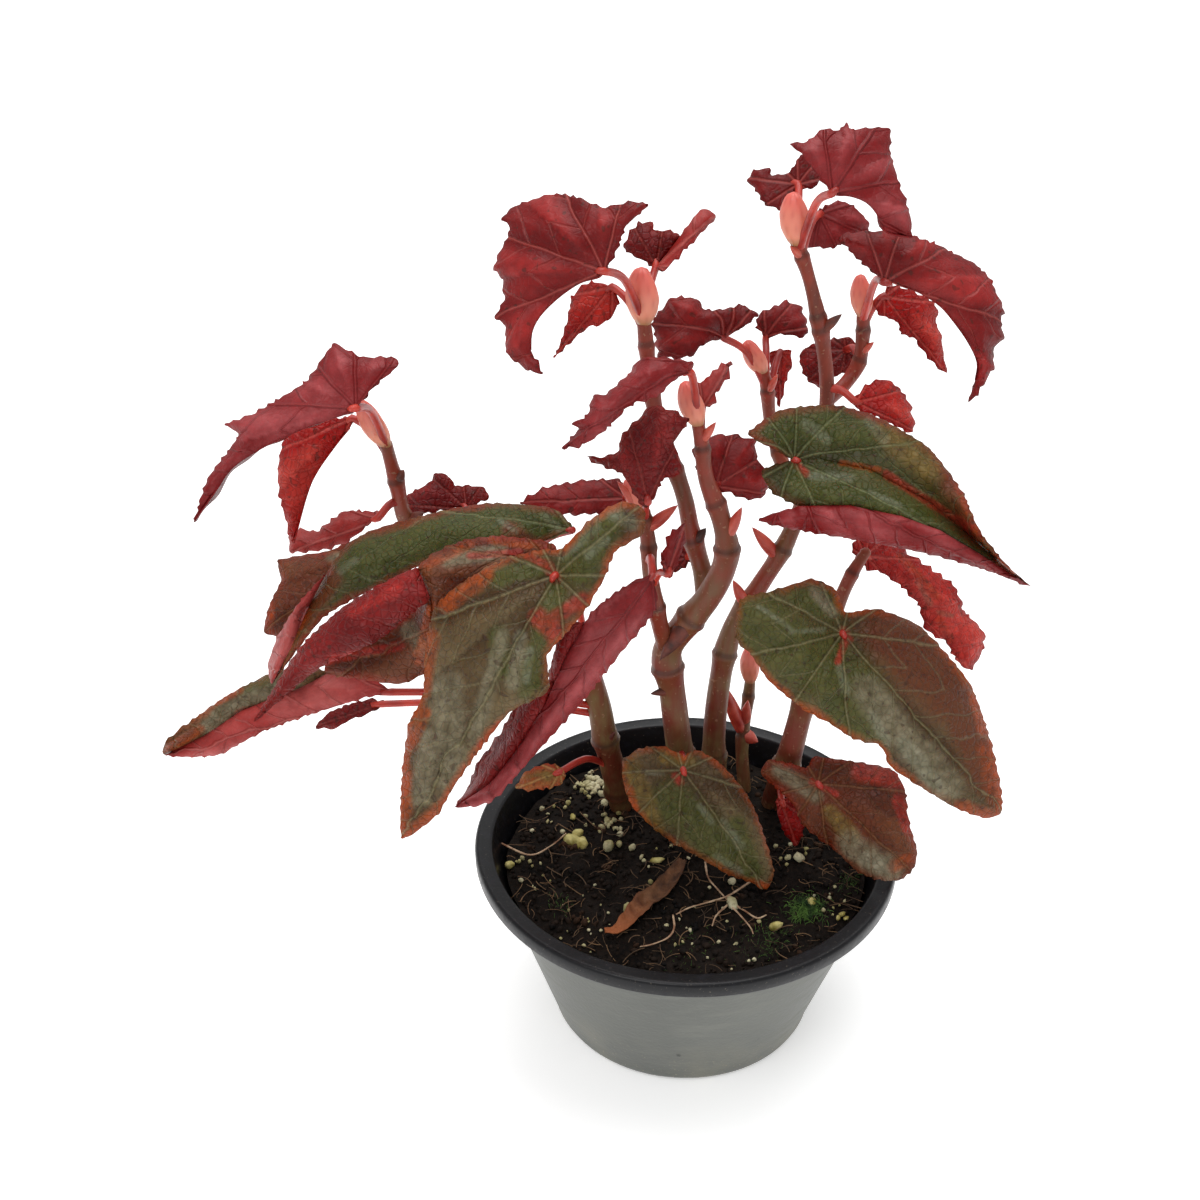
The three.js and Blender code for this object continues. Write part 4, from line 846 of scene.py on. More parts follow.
def sheath_mesh(base, tip, width, bulge):
    """A pointed, boat-shaped scale from base to tip. All in metres."""
    rows, columns = SCALE_ROWS, SCALE_COLUMNS
    across_row = columns + 1
    along = tip - base
    toward = (Vector(EYE) - base).normalized()
    across = along.cross(toward).normalized()
    front = across.cross(along).normalized()
    points, faces = [], []
    for skin in (0, SCALE_SKIN * MM):
        for i in range(rows + 1):
            t = i / rows
            half = width / 2 * math.sin(math.pi * min(1, 0.22 + 0.78 * t)) ** 0.8 * (1 - 0.15 * t)
            for j in range(across_row):
                s = 2 * j / columns - 1
                lift = bulge * (math.sin(math.pi * t) * 0.9 + 0.25) - half * 0.75 * s * s
                points.append(base + along * t + across * half * s + front * (lift - skin))
    size = (rows + 1) * across_row
    for i in range(rows):
        for j in range(columns):
            a = i * across_row + j
            b = a + across_row
            faces.append((a, a + 1, b + 1, b))
            faces.append((size + a, size + b, size + b + 1, size + a + 1))
    edge = list(range(columns)) + [i * across_row + columns for i in range(rows)]
    edge += [rows * across_row + j for j in range(columns, 0, -1)]
    edge += [i * across_row for i in range(rows, 0, -1)]
    for a, b in zip(edge, edge[1:] + edge[:1]):
        faces.append((b, a, size + a, size + b))
    return points, faces


def join(parts):
    """One list of points and one of faces from several (points, faces, material)."""
    points, faces, which = [], [], []
    for part_points, part_faces, material in parts:
        faces += [tuple(v + len(points) for v in f) for f in part_faces]
        which += [material] * len(part_faces)
        points += list(part_points)
    return points, faces, which


def nearest_on(cane, across, down):
    """The index of a cane's point that is seen nearest to a spot."""
    seen = seen_at(np.array(canes[cane]["line"]))
    return int(np.argmin(np.hypot(seen[:, 0] - across, seen[:, 1] - down)))


canes = {}
for name, cane in CANES.items():
    points = [place(p[:3]) for p in cane["path"]]
    sizes = [p[3] for p in cane["path"]]
    if "root" in cane:
        across, down, size = cane["root"]
        foot = on_soil(across, down) * MM
        points = [Vector((foot.x, foot.y, (SOIL_TOP - FOOT_DEPTH) * MM)), foot] + points
        sizes = [size * 1.05, size * 1.08] + sizes
    else:
        parent, across, down = cane["from"]
        points = [canes[parent]["line"][nearest_on(parent, across, down)]] + points
        sizes = [sizes[0] * 1.1] + sizes
    line = through(points, CANE_STEP * MM)
    marks = np.cumsum([0] + [(Vector(b) - Vector(a)).length for a, b in zip(points, points[1:])])
    walked = np.cumsum([0] + [(b - a).length for a, b in zip(line, line[1:])])
    radii = np.interp(walked / walked[-1], marks / marks[-1], sizes)
    canes[name] = {"line": line}
    rings = np.zeros(len(line))
    for across, down in JOINTS[name]:
        off = (walked - walked[nearest_on(name, across, down)]) / MM
        swell = np.exp(-((off / SWELL_WIDTH) ** 2)) * SWELL
        ridge = np.exp(-((off / RING_WIDTH) ** 2)) * RING
        groove = np.exp(-(((off - GROOVE_ABOVE) / GROOVE_WIDTH) ** 2)) * GROOVE
        radii = radii * (1 + swell + ridge - groove)
        rings = np.maximum(rings, np.exp(-(((off - MARK_ABOVE) / RING_WIDTH) ** 2)))
    radii = [r * (1 + 0.05 * noise.noise(Vector(p) * 60)) for r, p in zip(radii, line)]
    canes[name]["radii"] = radii
    end = (line[-1] - line[-2]).normalized()
    tail = [line[-1] + end * radii[-1] * on * MM for _, on in END_TAPER]
    all_radii = [r * MM for r in radii] + [radii[-1] * wide * MM for wide, _ in END_TAPER]
    parts = [(*tube_mesh(line + tail, all_radii, CANE_SIDES), BARK)]
    for owner, across, down, tip_across, tip_down, width, kind in STIPULES:
        if owner == name:
            at = nearest_on(name, across, down)
            base = line[at] + (Vector(EYE) - line[at]).normalized() * radii[at] * 0.75 * MM
            tip = Vector(place([tip_across, tip_down, base.y / MM - 1]))
            scale = sheath_mesh(base, tip, width * MM, SCALE_BULGE * MM)
            parts.append((*scale, STIPULE_PAINTS[kind]))
    points, faces, which = join(parts)
    piece = new_piece(name + "_stem", points, faces, stem_paints, which)
    ring_values = np.zeros(len(points))
    ring_values[: len(line) * CANE_SIDES] = np.repeat(rings, CANE_SIDES)
    add_trait(piece, "ring", ring_values)
    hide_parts(name)

# ---- Buds ----
# At the tip of each growing cane two papery sheaths wrap the next leaf. They
# are pale pink to salmon, with fine ribs, and grow straight on from the cane.
# Bud: [its cane, where its point is, length, radius].
BUDS = {
    "left_bud": ["left_cane", 356, 405, 18, 4.6],
    "middle_bud": ["middle_cane", 685, 388, 16, 4.6],
    "upper_left_bud": ["upper_left_cane", 643, 265, 18, 6.0],
    "short_cane_bud": ["short_cane", 622, 478, 14, 3.8],
    "right_top_bud": ["right_top_cane", 800, 190, 17, 5.4],
    "right_shoot_bud": ["right_side_shoot", 860, 272, 14, 4.2],
    "centre_bud": ["centre_shoot", 742, 340, 13, 4.2],
    "young_bud": ["young_cane", 748, 645, 14, 4.2],
}
BUD_ROWS = 22
BUD_SIDES = 28
BUD_RIBS = 9
BUD_SUNK = 0.6
BUD_FLAT = 0.86
SHEATH_TWIST = 0.9
KEEL, SEAM, RIB = 0.1, 0.16, 0.02
bud_paint = Paint("bud sheath", {"Roughness": 0.42, "Subsurface Weight": 0.2, "Subsurface Scale": 0.003})
up_bud = bud_paint.trait("along")
rib = bud_paint.trait("rib")
ripe = bud_paint.ease(up_bud + (bud_paint.noise(120, 3) - 0.5) * 0.5, 0.15, 0.95)
petal = bud_paint.mix(ripe, rgb(226, 148, 120), rgb(218, 104, 92))
petal = bud_paint.mix(rib * 0.55, petal, rgb(176, 56, 48))
petal = bud_paint.mix(bud_paint.ease(up_bud, 0.22, 0.02) * 0.8, petal, rgb(138, 104, 56))
bud_paint.feed(Base_Color=petal)
bud_paint.bump(rib, 0.0004, 0.6)
for name, (cane, across, down, length, radius) in BUDS.items():
    line = canes[cane]["line"]
    top = line[-1]
    along = (top - line[-3]).normalized()
    tip = Vector(place([across, down, top.y / MM]))
    axis = (along * 0.5 + (tip - top).normalized()).normalized()
    side = axis.orthogonal().normalized()
    over = axis.cross(side)
    foot_r = canes[cane]["radii"][-1] * 0.95
    reach = max(length * MM, (tip - top).length)
    points, faces, along_values, rib_values = [], [], [], []
    for i in range(BUD_ROWS + 1):
        t = i / BUD_ROWS
        swell = math.sin(math.pi * (0.06 + 0.9 * t)) ** 0.62
        r = max(foot_r * (1 - t) ** 3, radius * swell * 0.9) if i < BUD_ROWS else radius * 0.1
        middle = top + axis * (reach * t - BUD_SUNK * MM)
        for k, (out, up) in enumerate(round_spots(BUD_SIDES)):
            lap = 2 * math.pi * k / BUD_SIDES + SHEATH_TWIST * t
            seam = math.exp(-((math.sin(lap / 2) * 5) ** 2))
            keel = math.exp(-((math.cos(lap / 2) * 4) ** 2))
            ribs = max(0, math.cos(lap * BUD_RIBS)) ** 4
            full = r * (1 + KEEL * keel - SEAM * seam + RIB * ribs)
            points.append(middle + (side * out * BUD_FLAT + over * up) * full * MM)
            along_values.append(t)
            rib_values.append(0.5 * ribs + seam * 0.8)
        if i:
            faces += ring_band((i - 1) * BUD_SIDES, i * BUD_SIDES, BUD_SIDES)
    faces.append(tuple(range(BUD_SIDES))[::-1])
    faces.append(tuple(range(BUD_ROWS * BUD_SIDES, len(points))))
    piece = new_piece(name + "_sheath", points, faces, [bud_paint.material])
    add_trait(piece, "along", along_values)
    add_trait(piece, "rib", rib_values)
    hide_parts(name)

# ---- Leaves ----
# Each leaf is one thin blade on a fleshy stalk that grows from a joint. The
# blade is a lopsided heart with toothed edges and veins that fan out from the
# stalk. Young blades are red, old ones olive to brown with a red underside.
# A leaf: the cane and the spot of it that the stalk grows from, a point that
# the stalk passes (via), the spots of the stalk's end (heel) and of the
# blade's tip, and the blade's panels, which meet at folds. A panel: the way it
# faces, how far it swells in mm (bow), its middle and its outline. A third
# number of a spot is its depth behind the pot's centre, in mm. From the
# corners of the outline that "fold" names, the other half of the blade hangs
# out of sight, in the direction and as wide in mm as "flap" says.
LEAVES = {
    "front_left_leaf": {
        "cane": ["left_cane", 590, 680], "heel": [556, 575, -57], "tip": [402, 838], "tone": "olive",
        "panels": [{"look": [-0.3, -0.8, 0.52], "bow": 7, "outline": [
            [562, 548], [590, 520], [620, 502], [643, 508], [644, 533], [616, 551], [604, 579], [584, 612],
            [560, 640], [547, 656], [548, 691], [510, 712], [476, 755], [453, 788], [437, 815], [402, 838],
            [402, 774], [409, 723], [423, 695], [425, 650], [434, 609], [457, 586], [500, 560], [540, 550],
        ]}],
    },
    "front_rolled_leaf": {
        "cane": ["short_cane", 650, 560], "heel": [652, 576, -22], "tip": [455, 807], "tone": "mauve",
        "panels": [{"look": [0.35, -0.9, 0.3], "bow": 3, "centre": [580, 682, -44], "outline": [
            [652, 576, -22], [656, 609], [620, 654], [584, 700], [538, 751], [492, 801], [455, 807, -62],
            [490, 784, -58], [515, 752, -55], [546, 703, -52], [566, 655, -47], [585, 622, -42], [600, 604],
            [630, 583],
        ]}, {"look": [-0.6, -0.7, 0.4], "bow": 1, "centre": [540, 700, -50], "tone": "dark", "outline": [
            [585, 622, -42], [566, 655, -47], [546, 703, -52], [515, 752, -55], [490, 784, -58],
            [455, 807, -62], [467, 789], [478, 762], [501, 732], [518, 702], [545, 690], [551, 664],
            [561, 631],
        ]}],
    },
    "right_front_leaf": {
        "cane": ["right_cane", 812, 680], "heel": [842, 633, -24], "tip": [1001, 813], "tone": "olive",
        "panels": [{"look": [0.25, -0.8, 0.55], "bow": 7, "outline": [
            [846, 612], [877, 609], [921, 627], [969, 682], [990, 738], [1001, 788], [1001, 813],
            [984, 818], [950, 805], [892, 768], [881, 746], [854, 739], [829, 723], [806, 711], [770, 682],
            [752, 656], [736, 638], [740, 600], [775, 590], [812, 579], [836, 590],
        ]}],
    },
    "right_green_leaf": {
        "cane": ["right_top_cane", 802, 500], "heel": [794, 460, -2], "tip": [1032, 587], "tone": "green",
        "panels": [{"look": [0, -0.5, 0.87], "bow": 3, "centre": [870, 445, -3], "outline": [
            [794, 460, -2], [775, 450], [748, 434], [781, 410], [833, 405], [875, 416], [928, 447],
            [962, 491], [980, 531], [1008, 566], [1032, 587, -22], [985, 549, -20], [930, 502, -14],
            [870, 470, -9], [820, 459, -5],
        ]}, {"look": [0, -0.8, 0.6], "bow": 2, "centre": [850, 486, -14], "outline": [
            [794, 460, -2], [820, 459, -5], [870, 470, -9], [930, 502, -14], [985, 549, -20],
            [1032, 587, -22], [980, 554, -26], [940, 530, -26], [901, 516, -24], [849, 505, -20],
            [800, 506, -16], [772, 492, -10], [762, 470, -4],
        ]}, {"look": [0.1, -0.95, 0.1], "bow": 4, "centre": [870, 526, -25], "tone": "mauve", "outline": [
            [758, 520, -12], [800, 506, -16], [849, 505, -20], [901, 516, -24], [940, 530, -26],
            [980, 554, -26], [1032, 587, -22], [985, 570, -24], [928, 554, -25], [862, 541, -22],
            [797, 530, -16],
        ]}],
    },
    "left_red_fold_leaf": {
        "cane": ["left_cane", 560, 615], "heel": [548, 562, -34], "tip": [254, 722], "tone": "brown",
        "panels": [{"look": [-0.2, -0.6, 0.8], "bow": 3, "centre": [450, 578, -40], "outline": [
            [556, 562], [551, 543], [500, 536], [464, 540], [436, 552], [418, 568, -42], [430, 597, -50],
            [434, 640, -52], [440, 640], [460, 600], [500, 572],
        ]}, {"look": [-0.2, -0.8, 0.5], "bow": 4, "centre": [345, 636, -52], "tone": "dark", "outline": [
            [418, 568, -42], [377, 586], [339, 610], [301, 646], [275, 686], [254, 722, -62], [285, 696],
            [320, 668], [377, 641], [411, 614], [430, 597, -50],
        ]}, {"look": [-0.1, -0.9, 0.4], "bow": 1, "centre": [385, 655, -44], "tone": "brown", "outline": [
            [430, 597, -50], [434, 640, -52], [425, 672], [400, 684], [366, 680], [326, 674], [330, 660],
            [377, 637], [411, 612],
        ]}],
    },
    "left_arching_leaf": {
        "cane": ["left_cane", 520, 585], "heel": [572, 530, -10], "tip": [272, 684], "tone": "green",
        "panels": [{"look": [-0.15, -0.5, 0.85], "bow": 4, "centre": [420, 545, -10], "outline": [
            [572, 530, -10], [552, 508], [492, 503], [450, 509], [402, 521], [370, 531], [346, 545],
            [326, 574, -15], [306, 612, -24], [290, 650, -33], [272, 684, -42], [323, 618], [377, 587],
            [428, 562], [470, 550], [520, 548],
        ]}, {"look": [-0.6, -0.75, 0.3], "bow": 2, "centre": [298, 630, -30], "tone": "pink", "outline": [
            [326, 574, -15], [298, 604], [278, 636], [268, 664], [272, 684, -42], [290, 650, -33],
            [306, 612, -24],
        ]}],
    },
    "far_left_leaf": {
        "cane": ["left_cane", 470, 560], "heel": [372, 552, 26], "tip": [264, 632], "tone": "brown",
        "panels": [{"look": [-0.3, -0.6, 0.75], "bow": 2, "centre": [312, 578, 24], "outline": [
            [372, 552, 26], [350, 542], [328, 551], [279, 560], [281, 580], [269, 606], [264, 632],
            [284, 636], [301, 612], [330, 590], [362, 572],
        ]}],
    },
    "low_left_leaf": {
        "cane": ["left_cane", 600, 705], "heel": [392, 692, -27], "via": [500, 694, -2], "tip": [165, 755],
        "tone": "olive",
        "panels": [{"look": [-0.1, -0.5, 0.85], "bow": 2, "centre": [235, 704, -30], "outline": [
            [165, 755, -34], [165, 742], [184, 726], [226, 696], [267, 675], [300, 668], [330, 672, -22],
            [300, 688, -26], [275, 697, -28], [241, 711, -30], [205, 735, -32],
        ]}, {"look": [-0.1, -0.85, 0.4], "bow": 2, "centre": [275, 712, -30], "tone": "pink", "outline": [
            [392, 692, -27], [364, 698], [303, 717], [260, 733], [221, 754], [198, 757], [165, 755, -34],
            [205, 735, -32], [241, 711, -30], [275, 697, -28], [300, 688, -26], [330, 672, -22], [366, 676],
        ]}],
    },
    "left_pink_leaf": {
        "cane": ["left_cane", 402, 500], "heel": [378, 518, 4], "tip": [291, 552], "tone": "pink",
        "panels": [{"look": [-0.2, -0.6, 0.8], "bow": 3, "centre": [335, 535, 4], "outline": [
            [378, 518, 4], [378, 512], [345, 511], [329, 522], [317, 531], [300, 529], [290, 534],
            [291, 552], [329, 549], [351, 539], [366, 527],
        ]}],
    },
    "left_crown_leaf": {
        "cane": ["left_cane", 384, 438], "heel": [356, 408, -16], "tip": [194, 522], "tone": "mauve",
        "panels": [{"look": [-0.2, -0.7, 0.65], "bow": 3, "centre": [310, 405, -22], "fold": [11, 17],
        "flap": [-0.1, 0.92, -0.37, 16],
            "outline": [
            [362, 402], [376, 385], [398, 366], [394, 357], [362, 357], [333, 345], [305, 382], [250, 415],
            [225, 424], [238, 436], [208, 478], [194, 522], [215, 492], [232, 468], [255, 452], [278, 440],
            [310, 426], [352, 412],
        ]}],
    },
    "left_crown_young_leaf": {
        "cane": ["left_cane", 388, 455], "heel": [352, 418, 4], "tip": [294, 543], "tone": "bright",
        "panels": [{"look": [0, -0.9, 0.35], "bow": 3, "centre": [310, 450, 0], "fold": [7, 11],
        "flap": [-0.22, 0.88, -0.42, 9],
            "outline": [
            [352, 418, 4], [318, 420], [286, 435], [278, 467], [279, 493], [284, 514], [290, 536],
            [294, 543], [307, 495], [317, 472], [336, 445], [350, 428],
        ]}],
    },
    "top_left_crown_leaf": {
        "cane": ["upper_left_cane", 646, 318], "heel": [604, 271, -4], "tip": [543, 373], "tone": "red",
        "panels": [{"look": [-0.35, -0.75, 0.55], "bow": 4, "centre": [562, 258, -8], "fold": [20, 26],
        "flap": [-0.06, 0.96, -0.28, 17],
            "outline": [
            [608, 266], [619, 246], [626, 226], [648, 206], [636, 201], [602, 207], [577, 197], [552, 194],
            [515, 206], [502, 218], [510, 230], [494, 265], [502, 280], [504, 300], [495, 316], [505, 326],
            [506, 352], [516, 362], [530, 371], [543, 373], [531, 350], [532, 332], [540, 316], [558, 298],
            [580, 283], [600, 277],
        ]}],
    },
    "top_left_hanging_leaf": {
        "cane": ["upper_left_cane", 646, 330], "heel": [612, 287, 22], "tip": [554, 358], "tone": "bright",
        "panels": [{"look": [-0.3, -0.85, 0.4], "bow": 2.4, "centre": [592, 306, 22.4], "outline": [
            [612, 287, 22], [619, 302], [608, 321], [589, 327], [572, 341], [554, 358], [561, 341],
            [569, 313], [572, 296], [590, 282],
        ]}],
    },
    "top_left_back_leaf": {
        "cane": ["upper_left_cane", 645, 326], "heel": [656, 266, 30], "tip": [716, 214], "tone": "dark",
        "panels": [{"look": [-0.2, -0.8, 0.5], "bow": 2, "centre": [650, 244, 34], "outline": [
            [656, 266, 30], [640, 259], [623, 247], [637, 224], [650, 222], [656, 230], [672, 231],
            [680, 236, 33], [668, 252, 32],
        ]}, {"look": [0.3, -0.8, 0.5], "bow": 2, "centre": [688, 236, 30], "tone": "pink", "outline": [
            [656, 266, 30], [668, 252, 32], [680, 236, 33], [700, 210], [711, 211], [716, 217], [697, 238],
            [675, 260], [662, 272],
        ]}],
    },
    "centre_left_wing_leaf": {
        "cane": ["centre_shoot", 768, 388], "heel": [724, 338, 40], "tip": [654, 324], "tone": "red",
        "panels": [{"look": [0, -0.75, 0.65], "bow": 4, "centre": [694, 326, 34], "outline": [
            [724, 338, 40], [704, 344], [689, 357], [660, 357], [655, 336], [653, 320], [664, 306],
            [675, 297], [697, 299], [706, 310], [724, 309], [743, 305], [757, 315], [742, 328],
        ]}],
    },
    "centre_right_wing_leaf": {
        "cane": ["centre_shoot", 766, 380], "heel": [766, 337, 62], "tip": [807, 328], "tone": "red",
        "panels": [{"look": [0.1, -0.75, 0.65], "bow": 3, "centre": [784, 320, 62], "outline": [
            [766, 337, 62], [757, 327], [758, 315], [778, 305], [787, 301], [801, 308], [808, 328],
            [803, 338], [785, 334],
        ]}],
    },
    "centre_hanging_leaf": {
        "cane": ["centre_shoot", 770, 400], "heel": [780, 352, 62], "tip": [780, 407], "tone": "bright",
        "panels": [{"look": [0.1, -0.95, 0.2], "bow": 1, "centre": [780, 370, 62], "outline": [
            [780, 350], [790, 352], [792, 365], [786, 380], [780, 407], [773, 388], [770, 366], [770, 352],
        ]}],
    },
    "middle_crown_leaf": {
        "cane": ["middle_cane", 696, 425], "heel": [690, 372, -12], "tip": [562, 448], "tone": "mauve",
        "panels": [{"look": [-0.2, -0.75, 0.65], "bow": 5, "centre": [632, 388, -20], "outline": [
            [690, 372, -12], [692, 362], [658, 357], [640, 359], [629, 373], [606, 394], [593, 396],
            [587, 415], [571, 424], [579, 429], [562, 448], [583, 445], [608, 428], [631, 405], [658, 396],
            [673, 381],
        ]}],
    },
    "middle_crown_side_leaf": {
        "cane": ["middle_cane", 699, 434], "heel": [702, 408, 6], "tip": [731, 361], "tone": "pink",
        "panels": [{"look": [0.2, -0.85, 0.45], "bow": 2, "centre": [712, 388, 8], "outline": [
            [702, 408, 6], [698, 398], [692, 386], [704, 380], [718, 367], [731, 361], [728, 378],
            [716, 392], [716, 403],
        ]}],
    },
    "top_right_crown_leaf": {
        "cane": ["right_top_cane", 799, 250], "heel": [832, 193, 4], "tip": [911, 238], "tone": "mauve",
        "panels": [{"look": [0.3, -0.75, 0.6], "bow": 3, "centre": [858, 164, 2], "fold": [14, 20],
        "flap": [0.12, 0.97, -0.22, 15],
            "outline": [
            [828, 188], [812, 168], [801, 153], [789, 144], [808, 141], [823, 129], [840, 130], [846, 122],
            [852, 129], [889, 128], [890, 150], [897, 176], [910, 214], [912, 232], [911, 238], [886, 232],
            [877, 214], [866, 202], [850, 196], [836, 195],
        ]}],
    },
    "top_right_left_leaf": {
        "cane": ["right_top_cane", 799, 246], "heel": [798, 184, 36], "tip": [748, 178], "tone": "red",
        "panels": [{"look": [-0.2, -0.8, 0.5], "bow": 2, "centre": [780, 188, 36], "outline": [
            [800, 190], [790, 198], [782, 210], [764, 203], [757, 192], [748, 181], [754, 170], [769, 169],
            [772, 175], [790, 172], [797, 160], [803, 155], [820, 176], [814, 188],
        ]}],
    },
    "top_right_back_leaf": {
        "cane": ["right_top_cane", 801, 254], "heel": [820, 214, 44], "tip": [866, 234], "tone": "mauve",
        "panels": [{"look": [0.2, -0.85, 0.4], "bow": 2.5, "centre": [838, 224, 46], "outline": [
            [822, 208], [838, 201], [852, 205], [868, 221], [868, 232], [846, 241], [832, 248], [806, 246],
            [808, 234], [813, 218],
        ]}],
    },
    "right_crown_leaf": {
        "cane": ["right_side_shoot", 864, 318], "heel": [884, 282, 20], "tip": [968, 402], "tone": "red",
        "panels": [{"look": [0.35, -0.75, 0.55], "bow": 4, "centre": [936, 276, 10], "fold": [19, 26],
        "flap": [0.24, 0.93, -0.28, 14],
            "outline": [
            [878, 276], [862, 263], [846, 247], [839, 236], [868, 231], [903, 234], [934, 243], [970, 261],
            [979, 267], [990, 278], [998, 296], [1004, 309], [1001, 323], [1004, 338], [994, 348],
            [994, 366], [984, 384], [976, 396], [968, 402, -2], [975, 380], [977, 362], [968, 342],
            [954, 322], [940, 306], [920, 293], [898, 285],
        ]}],
    },
    "right_crown_young_leaf": {
        "cane": ["right_side_shoot", 864, 324], "heel": [884, 296, 42], "tip": [946, 373], "tone": "bright",
        "panels": [{"look": [0.3, -0.85, 0.4], "bow": 2, "centre": [912, 312, 40], "outline": [
            [884, 292], [894, 285], [928, 298], [938, 310], [936, 323], [941, 334], [943, 350], [946, 373],
            [932, 362], [912, 337], [901, 334], [897, 322], [878, 314], [876, 304],
        ]}],
    },
    "right_shoot_back_leaf": {
        "cane": ["right_side_shoot", 858, 360], "heel": [846, 350, 56], "tip": [804, 384], "tone": "dark",
        "panels": [{"look": [-0.1, -0.85, 0.5], "bow": 2, "centre": [830, 358, 56], "outline": [
            [850, 337], [857, 348], [855, 362], [846, 372], [830, 378], [821, 388], [806, 378], [799, 356],
            [812, 344], [830, 340],
        ]}],
    },
    "right_shoot_low_leaf": {
        "cane": ["right_top_cane", 829, 388], "heel": [856, 402, 26], "tip": [913, 430], "tone": "bright",
        "panels": [{"look": [0.2, -0.7, 0.65], "bow": 3, "centre": [884, 400, 26], "outline": [
            [853, 399], [868, 385], [880, 379], [894, 384], [905, 395], [911, 408], [914, 432], [895, 426],
            [875, 416], [857, 409],
        ]}],
    },
    "centre_upright_leaf": {
        "cane": ["short_cane", 645, 520], "heel": [648, 502, -10], "tip": [688, 419], "tone": "dark",
        "panels": [{"look": [-0.25, -0.9, 0.3], "bow": 4, "centre": [645, 460, -14], "outline": [
            [648, 507], [640, 504], [623, 475], [602, 466], [586, 456], [604, 457], [619, 450], [621, 436],
            [643, 414], [650, 406], [666, 408], [688, 419], [683, 430], [674, 441], [678, 455], [680, 474],
            [664, 479], [657, 492],
        ]}],
    },
    "centre_folded_leaf": {
        "cane": ["middle_cane", 712, 485], "heel": [716, 486, 12], "tip": [766, 494], "tone": "red",
        "panels": [{"look": [0.2, -0.8, 0.55], "bow": 4, "centre": [734, 466, 14], "outline": [
            [712, 488], [702, 480], [693, 452], [704, 440], [720, 434], [752, 439], [757, 455], [766, 478],
            [766, 494], [750, 500], [730, 493],
        ]}],
    },
    "back_left_leaf": {
        "cane": ["left_cane", 440, 548], "heel": [466, 508, 28], "tip": [400, 506], "tone": "dark",
        "panels": [{"look": [-0.1, -0.7, 0.7], "bow": 2, "centre": [445, 496, 28], "outline": [
            [472, 506], [449, 509], [415, 515], [400, 506], [412, 492], [426, 485], [438, 473], [449, 476],
            [454, 485], [483, 487], [489, 497],
        ]}],
    },
    "back_centre_leaf": {
        "cane": ["short_cane", 648, 530], "heel": [626, 498, 20], "tip": [521, 502], "tone": "red",
        "panels": [{"look": [0, -0.7, 0.7], "bow": 2, "centre": [580, 498, 20], "outline": [
            [632, 500], [610, 513], [550, 514], [521, 503], [540, 490], [560, 484], [590, 480], [615, 479],
            [634, 488],
        ]}],
    },
    "right_ruffled_leaf": {
        "cane": ["right_cane", 848, 582], "heel": [866, 556, 26], "tip": [970, 670], "tone": "bright",
        "panels": [{"look": [0.4, -0.75, 0.5], "bow": 2, "centre": [918, 584, 24], "outline": [
            [855, 556], [852, 543], [870, 538], [901, 549], [936, 572], [956, 588], [964, 611], [984, 632],
            [982, 652], [970, 670], [956, 660], [946, 642], [926, 630], [919, 606], [903, 588], [884, 574],
            [866, 568],
        ]}],
    },
    "soil_centre_leaf": {
        "cane": ["middle_cane", 683, 755], "heel": [683, 770, -2], "tip": [766, 890], "tone": "olive",
        "panels": [{"look": [0.05, -0.65, 0.75], "bow": 4, "outline": [
            [684, 757], [693, 750], [712, 757], [727, 770], [743, 789], [754, 808], [764, 835], [774, 872],
            [766, 890], [750, 882], [727, 874], [704, 860], [673, 843], [650, 825], [631, 804], [623, 781],
            [623, 760], [640, 749], [660, 746], [677, 752],
        ]}],
    },
    "soil_right_leaf": {
        "cane": ["right_cane", 782, 776], "heel": [818, 784, -2], "tip": [912, 872], "tone": "brown",
        "panels": [{"look": [0.05, -0.65, 0.75], "bow": 4, "outline": [
            [806, 768], [815, 757], [858, 762], [893, 770], [905, 790], [909, 822], [917, 850], [914, 868],
            [900, 880], [880, 880], [858, 872], [839, 854], [816, 836], [802, 824], [793, 804], [777, 789],
            [761, 774], [768, 760], [790, 763],
        ]}],
    },
    "soil_sprout_leaf": {
        "cane": ["right_cane", 776, 790], "heel": [782, 802, 6], "tip": [796, 846], "tone": "bright",
        "panels": [{"look": [0.2, -0.85, 0.5], "bow": 1, "centre": [790, 818, 4], "outline": [
            [776, 800], [790, 799], [801, 815], [803, 834], [796, 846], [784, 832], [778, 815],
        ]}],
    },
    "soil_left_leaf": {
        "cane": ["left_cane", 613, 768], "heel": [560, 772, 0], "tip": [516, 788], "tone": "yellow",
        "panels": [{"look": [-0.2, -0.7, 0.65], "bow": 1, "centre": [541, 778, 0], "outline": [
            [563, 768], [563, 783], [545, 789], [528, 790], [516, 788], [522, 776], [535, 767], [550, 764],
        ]}],
    },
    "low_left_sprout_leaf": {
        "cane": ["left_cane", 601, 715], "heel": [382, 704, 8], "via": [500, 702, 12], "tip": [316, 726],
        "tone": "dark",
        "panels": [{"look": [-0.1, -0.7, 0.7], "bow": 1, "centre": [350, 712, 8], "outline": [
            [384, 702], [372, 712], [350, 720], [334, 729], [316, 726], [330, 712], [350, 704], [370, 699],
        ]}],
    },
    "inner_back_leaf": {
        "cane": ["upper_left_cane", 696, 556], "heel": [688, 557, 41], "tip": [660, 562], "tone": "dark",
        "panels": [{"look": [-0.1, -0.85, 0.5], "bow": 1, "centre": [678, 556, 40], "outline": [
            [692, 560], [676, 572], [660, 562], [668, 545], [684, 539], [693, 548],
        ]}],
    },
    "inner_dark_leaf": {
        "cane": ["short_cane", 652, 585], "heel": [668, 574, -6], "tip": [684, 528], "tone": "red",
        "panels": [{"look": [0.1, -0.95, 0.2], "bow": 1, "centre": [674, 552, -8], "outline": [
            [664, 574], [664, 556], [668, 536], [684, 524], [684, 544], [678, 562], [672, 576],
